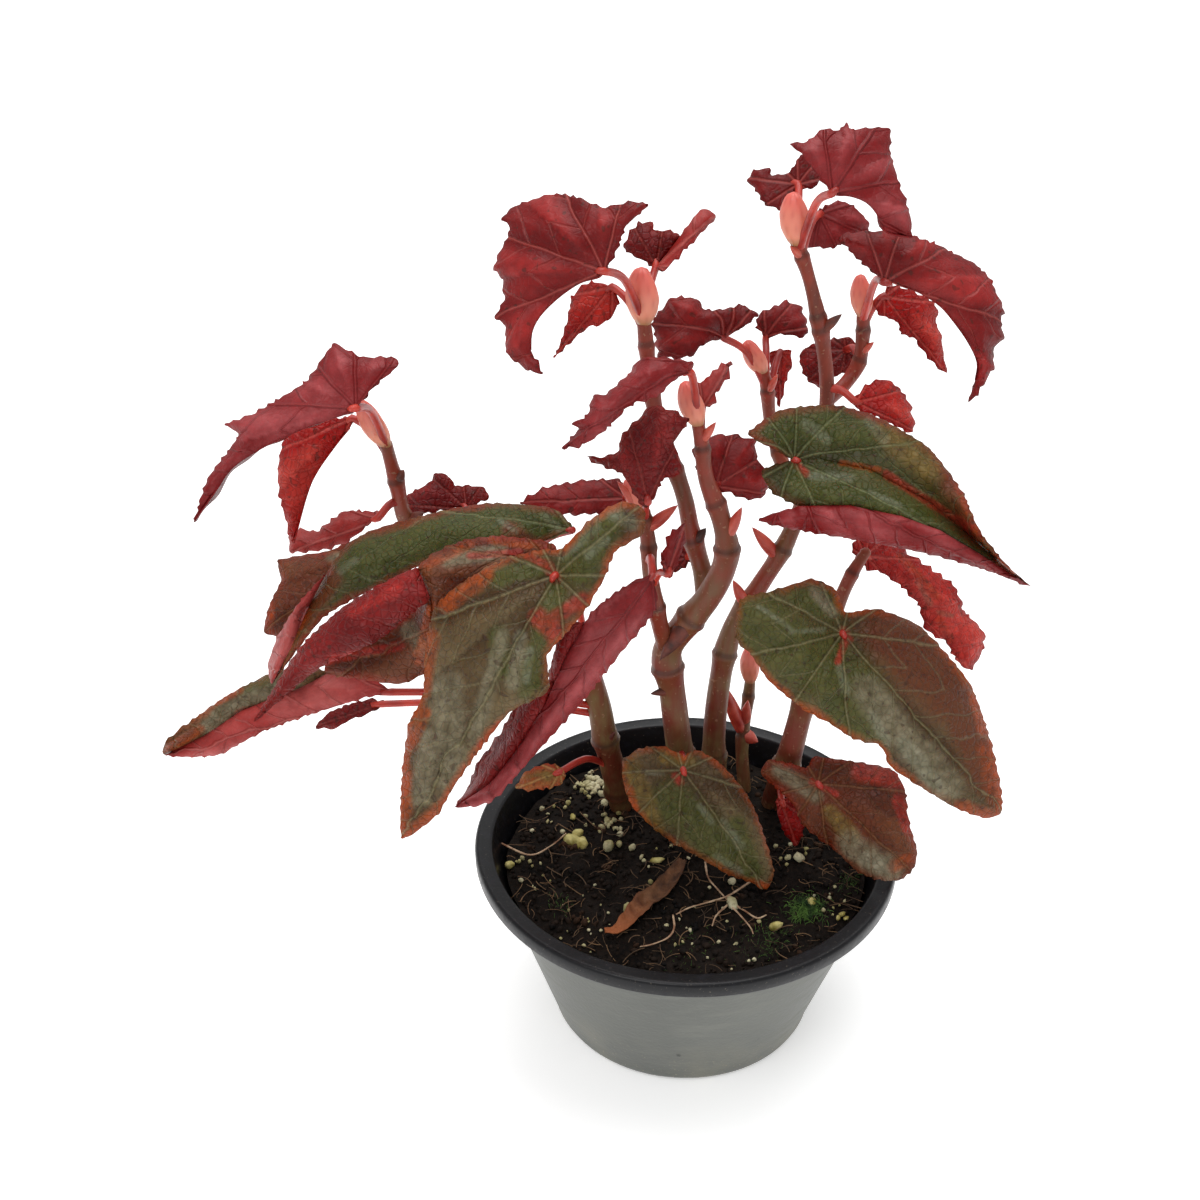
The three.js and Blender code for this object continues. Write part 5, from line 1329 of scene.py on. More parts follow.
        ]}],
    },
}
# Tones of a leaf: its middle, its clouds (whose lighter tint also paints the
# highlight on the pleats' crests), its rim, its veins, how strong the rim's colour is, and the tone of its
# other side.
TONES = {
    "olive": [(64, 44, 18), (104, 88, 58), (156, 62, 12), (130, 122, 88), 0.8, "mauve"],
    "green": [(46, 46, 12), (84, 82, 44), (132, 34, 18), (120, 124, 86), 0.7, "mauve"],
    "brown": [(78, 30, 8), (108, 60, 32), (136, 32, 8), (126, 86, 56), 0.7, "mauve"],
    "red": [(100, 5, 6), (152, 38, 36), (84, 2, 4), (172, 80, 74), 0.5, "bright"],
    "bright": [(156, 10, 6), (202, 66, 54), (104, 2, 4), (200, 84, 74), 0.5, "red"],
    "mauve": [(118, 20, 22), (164, 70, 72), (104, 4, 6), (150, 56, 56), 0.6, "dark"],
    "pink": [(150, 42, 38), (186, 94, 90), (120, 12, 10), (204, 116, 108), 0.5, "red"],
    "dark": [(94, 2, 3), (138, 30, 28), (124, 22, 6), (140, 56, 50), 0.5, "mauve"],
    "yellow": [(158, 108, 56), (176, 140, 78), (150, 46, 14), (186, 152, 94), 0.9, "yellow"],
}
# Dabs: where a blade takes another colour, as [from across, from down,
# to across, to down, radius]. Green is where it has ripened least, brown and
# rust where it dries, straw where it yellows, grey where it is paler and greyer,
# the sheen streaks a painted highlight between its veins, and blush where the sun has reddened it.
DAB_TINTS = {
    "green": [(48, 56, 10), (88, 92, 40)],
    "brown": [(88, 34, 12), (112, 58, 30)],
    "straw": [(118, 96, 44), (96, 76, 30)],
    "grey": [(124, 116, 92), (100, 92, 68)],
    "rust": [(156, 66, 16), (118, 48, 16)],
    "blush": [(180, 50, 42), (142, 18, 16)],
    # The sheen streaks are a painted highlight: pale stripes where the skin between the veins catches the
    # light.
    "sheen_highlight": [(156, 160, 138), (122, 130, 106)],
}
DABS = {
    "front_left_leaf": {
        "green": [
            [604, 524, 578, 566, 24], [556, 592, 540, 640, 13], [538, 650, 530, 690, 14],
            [500, 578, 540, 566, 12], [498, 636, 500, 668, 12],
        ],
        "grey": [[446, 690, 452, 780, 20], [502, 636, 474, 738, 9], [430, 740, 420, 796, 13]],
        "rust": [
            [432, 636, 424, 690, 8], [404, 772, 403, 834, 10], [448, 606, 486, 574, 9],
            [426, 712, 412, 746, 6], [446, 806, 410, 834, 9],
        ],
        "blush": [
            [540, 618, 556, 634, 12], [556, 616, 584, 600, 8], [556, 578, 546, 564, 6],
            [500, 724, 480, 746, 4], [528, 556, 548, 566, 5],
        ],
        "sheen_highlight": [
            [562, 556, 596, 528, 6], [582, 526, 606, 514, 5], [520, 636, 512, 684, 8],
            [530, 650, 526, 680, 5], [612, 512, 634, 524, 9], [588, 556, 606, 540, 5],
        ],
    },
    "right_front_leaf": {
        "green": [[760, 620, 850, 690, 46], [800, 600, 826, 606, 22], [830, 700, 870, 730, 22]],
        "brown": [[892, 634, 946, 694, 36], [950, 694, 990, 776, 22]],
        "grey": [[868, 692, 948, 790, 19], [815, 592, 832, 612, 7]],
        "rust": [[990, 750, 1000, 800, 13], [960, 806, 990, 816, 8], [976, 700, 984, 730, 8]],
        "blush": [[843, 631, 849, 640, 5], [846, 640, 838, 662, 4]],
        "sheen_highlight": [
            [758, 606, 790, 628, 3], [790, 632, 824, 630, 3], [840, 668, 846, 690, 5],
            [872, 716, 886, 742, 6], [904, 744, 936, 784, 9],
        ],
    },
    "right_green_leaf": {
        "green": [[760, 420, 860, 430, 24], [800, 480, 920, 520, 20]],
        "brown": [[940, 460, 975, 530, 16], [1000, 560, 1030, 586, 12]],
        "straw": [[890, 432, 930, 470, 18]],
        "rust": [[958, 486, 976, 530, 5], [1000, 562, 1014, 574, 6], [840, 462, 880, 470, 3]],
        "sheen_highlight": [
            [806, 424, 826, 440, 6], [868, 420, 884, 440, 6], [812, 476, 850, 478, 5],
            [870, 492, 900, 506, 3],
        ],
        "blush": [[886, 474, 970, 528, 5], [796, 462, 806, 474, 4]],
    },
    "left_arching_leaf": {
        "green": [[360, 560, 520, 515, 26], [530, 520, 560, 530, 18]],
        "brown": [[300, 620, 330, 580, 14], [510, 530, 530, 545, 10]],
        "sheen_highlight": [[340, 572, 356, 560, 4], [500, 520, 516, 532, 3], [544, 516, 560, 530, 4]],
        "rust": [[286, 650, 306, 612, 5], [500, 538, 470, 546, 3]],
    },
    "left_red_fold_leaf": {
        "rust": [[428, 566, 470, 544, 5], [490, 540, 540, 548, 4], [430, 606, 418, 660, 6]],
        "grey": [[448, 560, 500, 552, 9], [410, 630, 426, 650, 10], [500, 570, 530, 566, 5]],
        "blush": [
            [470, 556, 520, 552, 4], [352, 612, 400, 588, 7], [330, 660, 400, 646, 5],
            [546, 552, 552, 566, 6],
        ],
    },
    "low_left_leaf": {
        "rust": [[170, 748, 200, 730, 6], [216, 702, 240, 690, 4]],
        "grey": [[210, 726, 290, 684, 14]],
        "green": [[240, 690, 270, 680, 6]],
        "blush": [[240, 716, 300, 700, 7]],
    },
    "soil_centre_leaf": {
        "green": [[672, 800, 724, 850, 24], [736, 826, 752, 870, 12]],
        "straw": [[632, 770, 652, 830, 12], [664, 756, 690, 762, 8]],
        "rust": [[630, 788, 638, 816, 4], [760, 884, 768, 888, 4]],
        "sheen_highlight": [
            [700, 806, 712, 822, 4], [724, 822, 740, 846, 5], [716, 856, 740, 872, 4],
            [646, 772, 662, 774, 3],
        ],
        "blush": [[676, 776, 680, 782, 5]],
    },
    "soil_right_leaf": {
        "brown": [[800, 790, 860, 820, 22]],
        "straw": [[830, 812, 852, 838, 9]],
        "grey": [[780, 770, 816, 796, 9], [850, 846, 890, 870, 16]],
        "sheen_highlight": [[866, 858, 886, 866, 8], [776, 766, 790, 772, 4]],
        "rust": [[894, 866, 910, 858, 7]],
        "blush": [[862, 772, 900, 780, 12], [898, 800, 908, 830, 7], [812, 782, 836, 794, 4]],
    },
    "soil_left_leaf": {
        "rust": [[520, 784, 540, 780, 5]],
        "blush": [[560, 764, 568, 774, 7]],
        "straw": [[530, 772, 548, 776, 8]],
    },
    "right_ruffled_leaf": {
        "rust": [[900, 556, 936, 596, 5], [940, 620, 950, 640, 5]],
        "blush": [[880, 550, 970, 650, 16]],
        "grey": [[918, 582, 930, 604, 4], [938, 612, 952, 616, 3]],
    },
    "far_left_leaf": {
        "brown": [[284, 600, 320, 566, 12]],
        "grey": [[330, 556, 340, 556, 6]],
        "rust": [[272, 606, 268, 630, 5]],
    },
}
VEINS = 9
VEIN_GAP = 2 * math.pi / VEINS
# Across the view: how finely the outline and the inside are drawn, and how
# long, how tall and how uneven the teeth are.
OUTLINE_STEP = 2.4
INNER_STEP = 3.6
ROW_SHARE = 0.87
RIM_CLEAR = 0.6
CURL = 0.3
TOOTH, TOOTH_SPREAD = 11.0, (0.5, 1.7)
TOOTH_HEIGHT, HEIGHT_SPREAD = 3.4, (0.15, 1.3)
TOOTH_RISE = 0.75
TOOTH_SINK = 0.35
WORN_TEETH = 0.62
OLD_TONES = ("olive", "green", "brown")
# On the blade, in mm: its thickness, how far its rim and its heel reach, the
# pleats between its veins, the waves of its rim and the unevenness of its skin.
BLADE = 0.45
EDGE_REACH = 5
HEEL_REACH = 9
PLEAT = 3.2
# The second spread is how far from the heel the painted highlight on the pleats' crests grows to full.
SPREAD, HIGHLIGHT_SPREAD = 14, 16
QUILT = 1.5
RUFFLE, RUFFLE_WAVE, FINE_WAVE, RUFFLE_REACH = 1.2, 17.0, 7.3, 4.5
ROUGH, ROUGH_SCALE = 0.7, 90
SETTLE = 6
# The blade's places are stored in this many metres, for its paint.
SHEET_UNIT = 0.01


def unit(values):
    """A direction one long."""
    values = np.array(values, float)
    return values / np.linalg.norm(values)


def onto(spot, centre, look):
    """The point seen at a spot of the view, in the plane through centre that faces look."""
    ray = sight(spot)
    return EYE + ray * ((centre - EYE) @ look) / (ray @ look)


def dab_weights(name, spots):
    """How strongly each kind of dab colours each spot of a blade, 0 to 1."""
    weights = {}
    for kind in DAB_TINTS:
        weight = np.zeros(len(spots))
        for *ends, radius in DABS.get(name, {}).get(kind, []):
            start, stop = np.array(ends, float).reshape(2, 2)
            run = stop - start
            share = np.clip((spots - start) @ run / (run @ run), 0, 1)
            gap = np.linalg.norm(spots - start - share[:, None] * run, axis=1)
            weight = np.maximum(weight, np.exp(-((gap / radius) ** 2)))
        weights[kind] = weight
    return weights


SOFT_TONES = ("mauve", "pink", "red")
# How strongly some kinds of dab show; the sheen streaks, a painted highlight, show faintly.
FAINT_DABS = {"sheen_highlight": 0.26, "blush": 0.6, "rust": 0.7}
FULL_DAB = 0.82
SKIN = {"Specular IOR Level": 0.2, "Subsurface Weight": 0.05, "Subsurface Scale": 0.002}


def leaf_paint(tone, under):
    """A leaf's skin: clouded, veined, puckered into fine cells, and burnt along its rim.

    It carries painted highlights on its pleats' crests and in sheen streaks, and painted shade in the
    creases between its cells.
    """
    middle, cloud_and_highlight_tint, edge, vein, depth, _ = TONES[tone]
    smooth = tone in SOFT_TONES
    paint = Paint(tone + (" underside" if under else " leaf"), SKIN)
    # The veins fan out from the heel, and each sends out side veins.
    sheet = paint.node("ShaderNodeUVMap", {"uv_map": "sheet"})
    x, y = paint.part(sheet, 0), paint.part(sheet, 1)
    radius = (x * x + y * y) ** 0.5
    wedge = y.math("ARCTAN2", y, x) * (1 / VEIN_GAP)
    bent = wedge + (paint.noise(110, 2) - 0.5) * 0.16
    gap = abs(bent - bent.math("ROUND", bent)) * radius * VEIN_GAP
    main = paint.ease(gap, 0.075, 0.012)
    chevron = radius - gap * 1.1 + (paint.noise(60, 2) - 0.5) * 0.5
    branch = paint.ease(abs(chevron.math("FRACT", chevron) - 0.5), 0.07, 0.0) * paint.ease(radius, 0.5, 1.4)
    veins = main.math("MAXIMUM", main, branch * 0.6)
    net_sockets = {"Vector": paint.spot(), "Scale": 460}
    net = paint.node("ShaderNodeTexVoronoi", {"feature": "DISTANCE_TO_EDGE"}, net_sockets)
    cells = paint.ease(net, 0.0, 0.16)
    # Clouds, lightened on the pleats' crests as a painted highlight, then the dabs, whose sheen streaks are
    # a painted highlight, then fine mottling.
    cloud_and_highlight = paint.ease(paint.noise(42, 4) * 0.7 + paint.trait("crest_highlight") * 0.3, 0.32, 0.68)
    fine = paint.clouds(300, 4, 0.35, 0.7)
    drift = (paint.noise(95, 4) - 0.5) * 1.1
    tint = paint.mix(cloud_and_highlight, rgb(*middle), rgb(*cloud_and_highlight_tint))
    if not under:
        for kind, (first, second) in DAB_TINTS.items():
            share = paint.ease(paint.trait(kind) + drift * 0.5, 0.25, 0.75) * FAINT_DABS.get(kind, FULL_DAB)
            tint = paint.mix(share, tint, paint.mix(fine, rgb(*first), rgb(*second)))
    tint = paint.mix(fine * 0.35, tint, rgb(*[c * 0.62 for c in middle]))
    # The rim is burnt in patches, the veins are pale, and the cells' edges,
    # where the skin dips, are darkened with painted shade.
    patches = paint.clouds(34, 2, 0.38, 0.58)
    burn = paint.ease(paint.trait("margin") + drift * 0.8, 0.5, 0.05) * (patches * 0.75 + 0.25) * depth
    tint = paint.mix(burn, tint, rgb(*edge))
    tint = paint.mix(veins * (0.3 if under else 0.5), tint, rgb(*vein))
    tint = paint.mix((1 - cells) * (0.06 if smooth else 0.2), tint, rgb(*[c * 0.5 for c in middle]))
    tint = paint.mix(paint.clouds(520, 0, 0.71, 0.76) * (0.0 if under else 0.5), tint, rgb(48, 28, 20))
    paint.feed(Base_Color=tint, Roughness=0.34 + fine * 0.14 + cloud_and_highlight * 0.08)
    lift = veins * (1.0 if under else -0.9) + cells * (0.08 if smooth else 0.26) + fine * 0.16
    paint.bump(lift, 0.0009, 0.85)
    return paint.material


leaf_paints = {}


def paint_of(tone, under):
    """The paint of one side of a blade, made once."""
    key = (tone, under)
    if key not in leaf_paints:
        leaf_paints[key] = leaf_paint(tone, under)
    return leaf_paints[key]


stalk_paint = Paint("leaf stalk", {**FRESH, "Roughness": 0.4})
flush = stalk_paint.clouds(90, 3, 0.35, 0.65)
stalk_paint.feed(Base_Color=stalk_paint.mix(flush, rgb(192, 58, 42), rgb(136, 28, 22)))
stalk_paint.bump(stalk_paint.noise(600, 3), 0.0002, 0.4)


def inside_of(spots, loop):
    """Which spots lie inside a closed loop."""
    inside = np.zeros(len(spots), bool)
    for (x0, y0), (x1, y1) in zip(loop, np.roll(loop, -1, 0)):
        crosses = (y0 > spots[:, 1]) != (y1 > spots[:, 1])
        if y1 != y0:
            inside ^= crosses & (spots[:, 0] < (x1 - x0) * (spots[:, 1] - y0) / (y1 - y0) + x0)
    return inside


def plain_edges(leaf, panel):
    """Which stretches of a panel's outline carry no teeth: folds and shared edges."""
    others = {tuple(p[:2]) for q in leaf["panels"] if q is not panel for p in q["outline"]}
    count = len(panel["outline"])
    plain = []
    for i in range(count):
        a, b = panel["outline"][i], panel["outline"][(i + 1) % count]
        plain.append(tuple(a[:2]) in others and tuple(b[:2]) in others)
    return plain


def fold_edges(panel):
    """Which stretches of a panel's outline are the fold that hides the other half."""
    first, last = panel.get("fold", (0, 0))
    count = len(panel["outline"])
    return {i % count for i in range(first, last)}


def panel_outline(leaf, panel, draw):
    """The outline drawn finely: spots, how toothed each is, and each one's share between two corners."""
    corners = np.array([p[:2] for p in panel["outline"]], float)
    count = len(corners)
    plain, folds = plain_edges(leaf, panel), fold_edges(panel)
    spots, toothed, shares = [], [], []
    for i in range(count):
        a, b, c, d = corners[i - 1], corners[i], corners[(i + 1) % count], corners[(i + 2) % count]
        steps = max(2, round(np.hypot(*(c - b)) / OUTLINE_STEP))
        for k in range(steps):
            t = k / steps
            if plain[i]:
                at = b + (c - b) * t
            else:
                at = b * (2 * t**3 - 3 * t**2 + 1) + c * (3 * t**2 - 2 * t**3)
                at = at + (c - a) * CURL * (t**3 - 2 * t**2 + t) + (d - b) * CURL * (t**3 - t**2)
            spots.append(at)
            toothed.append(0.0 if plain[i] or i in folds else 1.0)
            shares.append(i + t)
    spots, toothed, shares = np.array(spots), np.array(toothed), np.array(shares)
    turned = np.roll(spots, -1, 0) - np.roll(spots, 1, 0)
    area = np.sum(spots[:, 0] * np.roll(spots[:, 1], -1) - np.roll(spots[:, 0], -1) * spots[:, 1])
    normal = np.stack([turned[:, 1], -turned[:, 0]], 1) * np.sign(area)
    normal /= np.maximum(np.hypot(*normal.T), 1e-6)[:, None]
    walked = np.cumsum(np.hypot(*(np.roll(spots, -1, 0) - spots).T))
    bounds, heights = [0.0], []
    while bounds[-1] < walked[-1]:
        bounds.append(bounds[-1] + TOOTH * draw.uniform(*TOOTH_SPREAD))
        heights.append(TOOTH_HEIGHT * draw.uniform(*HEIGHT_SPREAD))
    bounds, heights = np.array(bounds), np.array(heights)
    tooth = np.minimum(np.searchsorted(bounds, walked, side="right") - 1, len(heights) - 1)
    share = (walked - bounds[tooth]) / (bounds[tooth + 1] - bounds[tooth])
    rise = np.where(share < TOOTH_RISE, (share / TOOTH_RISE) ** 1.4, (1 - share) / (1 - TOOTH_RISE))
    soft = np.minimum(np.minimum(toothed, np.roll(toothed, 2)), np.roll(toothed, -2))
    depth = WORN_TEETH if leaf["tone"] in OLD_TONES else 1.0
    spots = spots + normal * (heights[tooth] * (rise - TOOTH_SINK) * soft * depth)[:, None]
    return spots, toothed, shares


def panel_reach(panel, spots, shares, centre, look):
    """A function that gives how far along its sight line each spot of the blade lies."""

    def flat(at):
        """The same for a blade that is flat."""
        rays = sight(at)
        return ((centre - EYE) @ look) / (rays @ look)

    extra = []
    for p in panel["outline"]:
        if len(p) == 3:
            ray = sight(p[:2])
            extra.append((p[2] * MM - EYE[1]) / ray[1] - flat(np.array(p[:2], float)))
        else:
            extra.append(0.0)
    extra = np.array(extra + extra[:1])
    edge_extra = np.interp(shares, np.arange(len(extra)), extra)

    def reach(at):
        """Flat, drawn to the depths that the corners have."""
        gap = ((at[:, None, :] - spots[None, :, :]) ** 2).sum(2) + 0.05
        weight = gap**-1.5
        return flat(at) + (weight * edge_extra).sum(1) / weight.sum(1)

    return reach


def leaf_frame(heel, tip, panel_look):
    """Directions in the blade: toward the tip, and across it."""
    along = unit(tip - heel)
    return along, unit(np.cross(panel_look, along))


def closed_sheet(front, back, triangles):
    """Faces of a thin sheet: its front, its back, and the strip round its edge."""
    count = len(front)
    edges = {}
    for tri in triangles:
        for a, b in zip(tri, tri[1:] + tri[:1]):
            edges[(a, b)] = edges.get((a, b), 0) + 1
    faces = [tuple(t) for t in triangles] + [tuple(v + count for v in reversed(t)) for t in triangles]
    which = [0] * len(triangles) + [1] * len(triangles)
    for a, b in edges:
        if (b, a) not in edges:
            faces.append((b, a, a + count, b + count))
            which.append(0)
    return np.concatenate([front, back]), faces, which


def panel_mesh(name, leaf, panel, heel, tip, draw):
    """One panel of a blade: points, faces, each face's side, traits and places on the sheet."""
    look = unit(panel["look"])
    centre = place(panel["centre"]) if "centre" in panel else heel
    outline, toothed, shares = panel_outline(leaf, panel, draw)
    reach = panel_reach(panel, outline, shares, centre, look)
    low, high = outline.min(0), outline.max(0)
    rows = np.arange(low[1], high[1], INNER_STEP * ROW_SHARE)
    grid = np.array([
        (x, y) for k, y in enumerate(rows)
        for x in np.arange(low[0] + (k % 2) * INNER_STEP / 2, high[0], INNER_STEP)
    ])
    gap = np.sqrt(((grid[:, None, :] - outline[None]) ** 2).sum(2)).min(1)
    grid = grid[inside_of(grid, outline) & (gap > INNER_STEP * RIM_CLEAR)]
    spots = np.concatenate([outline, grid])
    ring = [(i, (i + 1) % len(outline)) for i in range(len(outline))]
    found, _, triangles, *_ = delaunay_2d_cdt([Vector(p) for p in spots], ring, [], 1, 1e-3)
    spots = np.array([tuple(p) for p in found])
    gaps = np.sqrt(((spots[:, None, :] - outline[None]) ** 2).sum(2))
    near = gaps.min(1)
    width = max(near.max(), 1.0)
    along_edge = gaps.argmin(1)
    margin_gap = gaps[:, toothed > 0].min(1)
    distance = reach(spots)
    rays = sight(spots)
    edge_mm = margin_gap * distance / FOCUS / MM
    base = EYE + rays * distance[:, None]
    off = base - heel
    along, across = leaf_frame(heel, tip, look)
    sheet = np.stack([off @ along, off @ across], 1)
    radius = np.hypot(*sheet.T)
    angle = np.arctan2(sheet[:, 1], sheet[:, 0]) / VEIN_GAP
    vein_gap = np.abs(angle - np.round(angle)) * radius * VEIN_GAP
    # The skin swells between the veins, more on one side of each than on the
    # other, so that it lies in soft pleats.
    side = np.sign(angle - np.round(angle))
    swell = 1 - np.exp(-((vein_gap / (PLEAT * MM)) ** 2))
    # This trait is a painted highlight: it lightens the colour on each pleat's crest, more on one side of
    # each vein, and grows out from the heel.
    crest_highlight = swell * (1 + 0.5 * side) / 1.5 * np.minimum(radius / (HIGHLIGHT_SPREAD * MM), 1)
    quilt = swell * (1 + 0.35 * side) * np.minimum(radius / (SPREAD * MM), 1) * QUILT
    walked = along_edge * OUTLINE_STEP
    ruffle = np.sin(walked / RUFFLE_WAVE) + 0.6 * np.sin(walked / FINE_WAVE + 1)
    ruffle = ruffle * np.exp(-edge_mm / RUFFLE_REACH) * RUFFLE
    rough = np.array([noise.noise(Vector(p) * ROUGH_SCALE) for p in base]) * ROUGH
    dome = panel["bow"] * (1 - (1 - np.minimum(near / width, 1)) ** 2)
    settle = 1 - np.exp(-near / SETTLE)
    # The blade lies in its plane where the stalk meets it.
    held = 1 - np.exp(-((radius / (HEEL_REACH * MM)) ** 2))
    toward = (dome * held + (quilt + rough) * settle * held + ruffle * held) * MM
    long = np.linalg.norm(rays, axis=1)
    front = EYE + rays * (distance - toward / long)[:, None]
    back = EYE + rays * (distance - (toward - BLADE * MM) / long)[:, None]
    turned = []
    for tri in triangles:
        a, b, c = (Vector(found[v]) for v in tri)
        turned.append(tuple(tri) if (b - a).cross(c - a) < 0 else tuple(reversed(tri)))
    points, faces, which = closed_sheet(front, back, turned)
    traits = {"margin": np.minimum(edge_mm / EDGE_REACH, 1), "crest_highlight": crest_highlight, **dab_weights(name, spots)}
    traits = {trait: np.tile(values, 2) for trait, values in traits.items()}
    return points, faces, which, traits, np.tile(sheet, (2, 1))


FLAP_STEP = 1.6
FLAP_COLUMNS = 10
FLAP_SAG = 0.04
FLAP_WAVE = 0.9
FLAP_TEETH, FLAP_TOOTH = 0.05, 3.7


def sheet_triangles(rows, columns):
    """Triangles of a grid with so many points each way."""
    triangles = []
    for i in range(rows - 1):
        for j in range(columns - 1):
            a = i * columns + j
            b = a + columns
            triangles += [(a, a + 1, b), (a + 1, b + 1, b)]
    return triangles


def flap_mesh(panel, heel, tip, look):
    """The half of a folded leaf that hangs behind its fold, out of the eye's sight."""
    first, last = panel["fold"]
    *hang, width = panel["flap"]
    hang = unit(hang)
    corners = [panel["outline"][i % len(panel["outline"])] for i in range(first, last + 1)]
    centre = place(panel["centre"])
    line = [Vector(place(p) if len(p) == 3 else onto(p, centre, look)) for p in corners]
    line = np.array([tuple(p) for p in through(line, FLAP_STEP * MM)])
    points, margins = [], []
    for i, at in enumerate(line):
        full = width * math.sin(math.pi * (0.06 + 0.88 * i / (len(line) - 1))) ** 0.6
        tooth = 1 + FLAP_TEETH * ((i * FLAP_STEP / FLAP_TOOTH) % 1)
        for j in range(FLAP_COLUMNS + 1):
            s = j / FLAP_COLUMNS
            sag = np.array([0, 0, -FLAP_SAG * full * s * s])
            wave = look * FLAP_WAVE * s * math.sin(i * 0.8)
            down = hang * full * s * (tooth if j == FLAP_COLUMNS else 1)
            points.append(at + (down + sag + wave) * MM)
            margins.append((1 - s) * full)
    triangles = sheet_triangles(len(line), FLAP_COLUMNS + 1)
    points = np.array(points)
    normal = unit(np.cross(line[-1] - line[0], hang))
    if normal @ look < 0:
        normal = -normal
        triangles = [tuple(reversed(t)) for t in triangles]
    along, _ = leaf_frame(heel, tip, look)
    off = points - heel
    sheet = np.stack([off @ along, -np.abs(off @ hang)], 1)
    half = normal * BLADE * MM / 2
    points, faces, which = closed_sheet(points + half, points - half, triangles)
    traits = {kind: np.zeros(len(points)) for kind in ["crest_highlight", *DAB_TINTS]}
    traits["margin"] = np.tile(np.minimum(np.array(margins) / EDGE_REACH, 1), 2)
    return points, faces, which, traits, np.tile(sheet, (2, 1))


def foot_of(leaf):
    """Where the stalk meets the blade."""
    for panel in leaf["panels"]:
        for p in panel["outline"]:
            if len(p) == 3 and p[:2] == leaf["heel"][:2]:
                return place(p)
    first = leaf["panels"][0]
    return onto(leaf["heel"][:2], place(first.get("centre", leaf["heel"])), unit(first["look"]))


def first_panel_middle(leaf):
    """The middle of the panel that the stalk meets, as seen, at the panel's own depth."""
    for panel in leaf["panels"]:
        if any(p[:2] == leaf["heel"][:2] for p in panel["outline"]):
            break
    else:
        panel = leaf["panels"][0]
    middle = np.mean([p[:2] for p in panel["outline"]], axis=0)
    return Vector(onto(middle, place(panel.get("centre", leaf["heel"])), unit(panel["look"])))


UNDERSIDES = ("mauve", "pink")  # tones of blades that show their underside
STALK_SIDES = 10
STALK_R = 1.25
STALK_STEP = 1.6
STALK_ARCH = 0.14
FOOT_SWELL, FOOT_SWELL_REACH = 0.5, 3
TOP_SWELL, TOP_SWELL_REACH = 0.25, 2
GRIP = 2.6
TIP_SHARE = 0.35
for name, leaf in LEAVES.items():
    draw = random.Random(name)
    heel = foot_of(leaf)
    cane, across, down = leaf["cane"]
    at = nearest_on(cane, across, down)
    start = canes[cane]["line"][at]
    points, faces, which, sheets, materials = [], [], [], [], []
    traits = {trait: [] for trait in ["margin", "crest_highlight", *DAB_TINTS]}
    for panel in leaf["panels"]:
        tone = panel.get("tone", leaf["tone"])
        look = unit(panel["look"])
        tip = onto(leaf["tip"], place(panel.get("centre", leaf["heel"])), look)
        sides = [paint_of(tone, tone in UNDERSIDES), paint_of(TONES[tone][-1], True)]
        meshes = [panel_mesh(name, leaf, panel, heel, tip, draw)]
        if "flap" in panel:
            meshes.append(flap_mesh(panel, heel, tip, look))
        for mesh_points, mesh_faces, mesh_which, mesh_traits, sheet in meshes:
            for side in sides:
                if side not in materials:
                    materials.append(side)
            faces += [tuple(v + len(points) for v in f) for f in mesh_faces]
            which += [materials.index(sides[k]) for k in mesh_which]
            points += [Vector(p) for p in mesh_points]
            sheets += list(sheet)
            for trait, values in mesh_traits.items():
                traits[trait] += list(values)
    away = Vector(heel - EYE).normalized()
    end = Vector(heel) + away * BLADE * MM
    # It runs on a little under the blade and ends in it.
    grip = end + (first_panel_middle(leaf) - Vector(heel)).normalized() * GRIP * MM
    if "via" in leaf:
        way = [Vector(place(leaf["via"]))]
    else:
        way = [(start + end) / 2 + Vector((0, 0, STALK_ARCH)) * (end - start).length]
    line = through([start] + way + [end, grip], STALK_STEP * MM)
    radii = []
    for i in range(len(line)):
        from_cane, to_blade = i * STALK_STEP, (len(line) - 1 - i) * STALK_STEP
        thick = STALK_R + FOOT_SWELL * math.exp(-from_cane / FOOT_SWELL_REACH)
        thick += TOP_SWELL * math.exp(-to_blade / TOP_SWELL_REACH)
        radii.append(thick * min(1, TIP_SHARE + to_blade / (GRIP * 1.5)) * MM)
    stalk_points, stalk_faces = tube_mesh(line, radii, STALK_SIDES)
    materials.append(stalk_paint.material)
    faces += [tuple(v + len(points) for v in f) for f in stalk_faces]
    which += [len(materials) - 1] * len(stalk_faces)
    points += stalk_points
    sheets += [(0.0, 0.0)] * len(stalk_points)
    piece = new_piece(name + "_blade", points, faces, materials, which)
    mesh = piece.data
    for trait, values in traits.items():
        add_trait(piece, trait, values + [1.0 if trait == "margin" else 0.0] * len(stalk_points))
    corner_points = np.empty(len(mesh.loops), int)
    mesh.loops.foreach_get("vertex_index", corner_points)
    layer = mesh.uv_layers.new(name="sheet")
    layer.uv.foreach_set("vector", (np.array(sheets) / SHEET_UNIT)[corner_points].ravel())
    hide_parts(name)

# ---- Dried leaf ----
# A dead leaf that has dropped on the peat: a brown, crumpled strip whose
# orange end has curled up. It lies loose on the soil.
DRIED_LEAF = [[683, 864], [672, 882], [660, 897], [644, 909], [631, 924], [618, 938], [605, 941]]
DRIED_WIDTH = 4.4
DRIED_STEP = 1.1
DRIED_COLUMNS = 8
DRIED_SKIN = 0.35
CREASE = 1.1
CUPPED = 0.45
CURLED_UP = 2.4
dried_paint = Paint("dried leaf", {"Specular IOR Level": 0.3, "Roughness": 0.65})
crumple = dried_paint.clouds(240, 4, 0.35, 0.65)
brittle = dried_paint.mix(crumple, rgb(66, 40, 24), rgb(112, 74, 46))
dried_paint.feed(Base_Color=dried_paint.mix(dried_paint.trait("curled"), brittle, rgb(152, 84, 44)))
dried_paint.bump(dried_paint.noise(600, 4), 0.0008, 0.8)
route = [on_soil(across, down, 2.0) * MM for across, down in DRIED_LEAF]
line = through(route, DRIED_STEP * MM)
skin, curls = [], []
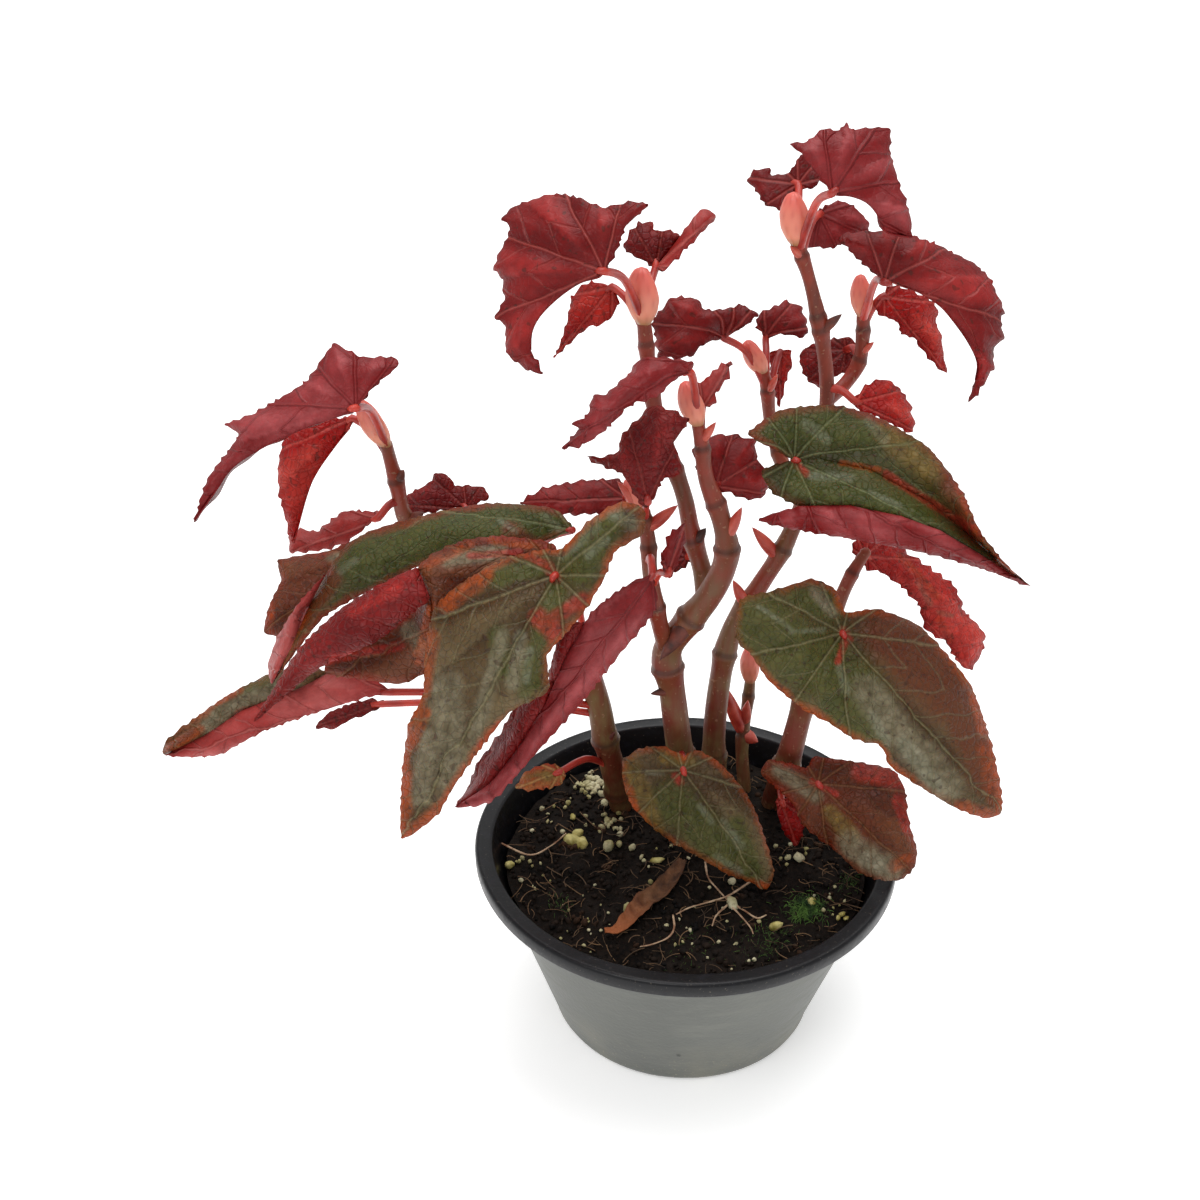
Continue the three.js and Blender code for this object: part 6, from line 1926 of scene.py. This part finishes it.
for i, at in enumerate(line):
    t = i / (len(line) - 1)
    along = (line[min(i + 1, len(line) - 1)] - line[max(i - 1, 0)]).normalized()
    beside = along.cross(Vector((0, 0, 1))).normalized()
    half = DRIED_WIDTH * math.sin(math.pi * (0.08 + 0.86 * t)) ** 0.7
    for j in range(DRIED_COLUMNS + 1):
        s = 2 * j / DRIED_COLUMNS - 1
        crease = noise.noise(Vector((i * 0.35, j * 0.6, 2))) * CREASE
        lift = CUPPED * half * s * s + CURLED_UP * t**4 + crease
        skin.append(at + (beside * half * s * 0.85 + Vector((0, 0, lift))) * MM)
        curls.append(max(0, t * 2 - 1))
front = np.array([tuple(p) for p in skin])
back = front - np.array([0, 0, DRIED_SKIN * MM])
points, faces, _ = closed_sheet(front, back, sheet_triangles(len(line), DRIED_COLUMNS + 1))
dried = new_piece("dried_leaf", points, faces, [dried_paint.material])
add_trait(dried, "curled", curls * 2)

# ---- Studio ----
# A plain pale floor, one broad soft light overhead, and a smaller one in
# front, above and to the left of the plant.
FLOOR_HALF = 6
FLOOR_GLOW = 0.35
glow = {"Roughness": 0.8, "Emission Color": (1, 1, 1, 1), "Emission Strength": FLOOR_GLOW}
floor_paint = Paint("pale floor", glow)
floor_paint.feed(Base_Color=floor_paint.mix(floor_paint.noise(3, 2), rgb(248, 248, 248), rgb(251, 251, 251)))
floor_mesh = bpy.data.meshes.new("studio_floor")
corners = [(x * FLOOR_HALF, y * FLOOR_HALF, 0) for x, y in [(-1, -1), (1, -1), (1, 1), (-1, 1)]]
floor_mesh.from_pydata(corners, [], [(0, 1, 2, 3)])
floor_mesh.materials.append(floor_paint.material)
floor = bpy.data.objects.new("studio_floor", floor_mesh)
scene.collection.objects.link(floor)

world = bpy.data.worlds.new("studio")
scene.world = world
world.use_nodes = True
world.node_tree.nodes["Background"].inputs["Color"].default_value = (1, 1, 1, 1)
world.node_tree.nodes["Background"].inputs["Strength"].default_value = 0.6
# name: place, aimed at, width, height, watts.
LIGHTS = {
    "top softbox": [(0.1, 0.5, 2.0), (0, 0.3, 0), 1.8, 1.8, 30],
    "front softbox": [(-0.5, -1.0, 1.5), (0, 0, 0.15), 0.8, 0.7, 8],
}
for name, (spot, aim, width, tall, watts) in LIGHTS.items():
    light = bpy.data.lights.new(name, "AREA")
    light.shape = "RECTANGLE"
    light.size, light.size_y, light.energy = width, tall, watts
    lamp = bpy.data.objects.new(name, light)
    lamp.location = spot
    lamp.rotation_euler = (Vector(aim) - Vector(spot)).to_track_quat("-Z", "Y").to_euler()
    scene.collection.objects.link(lamp)
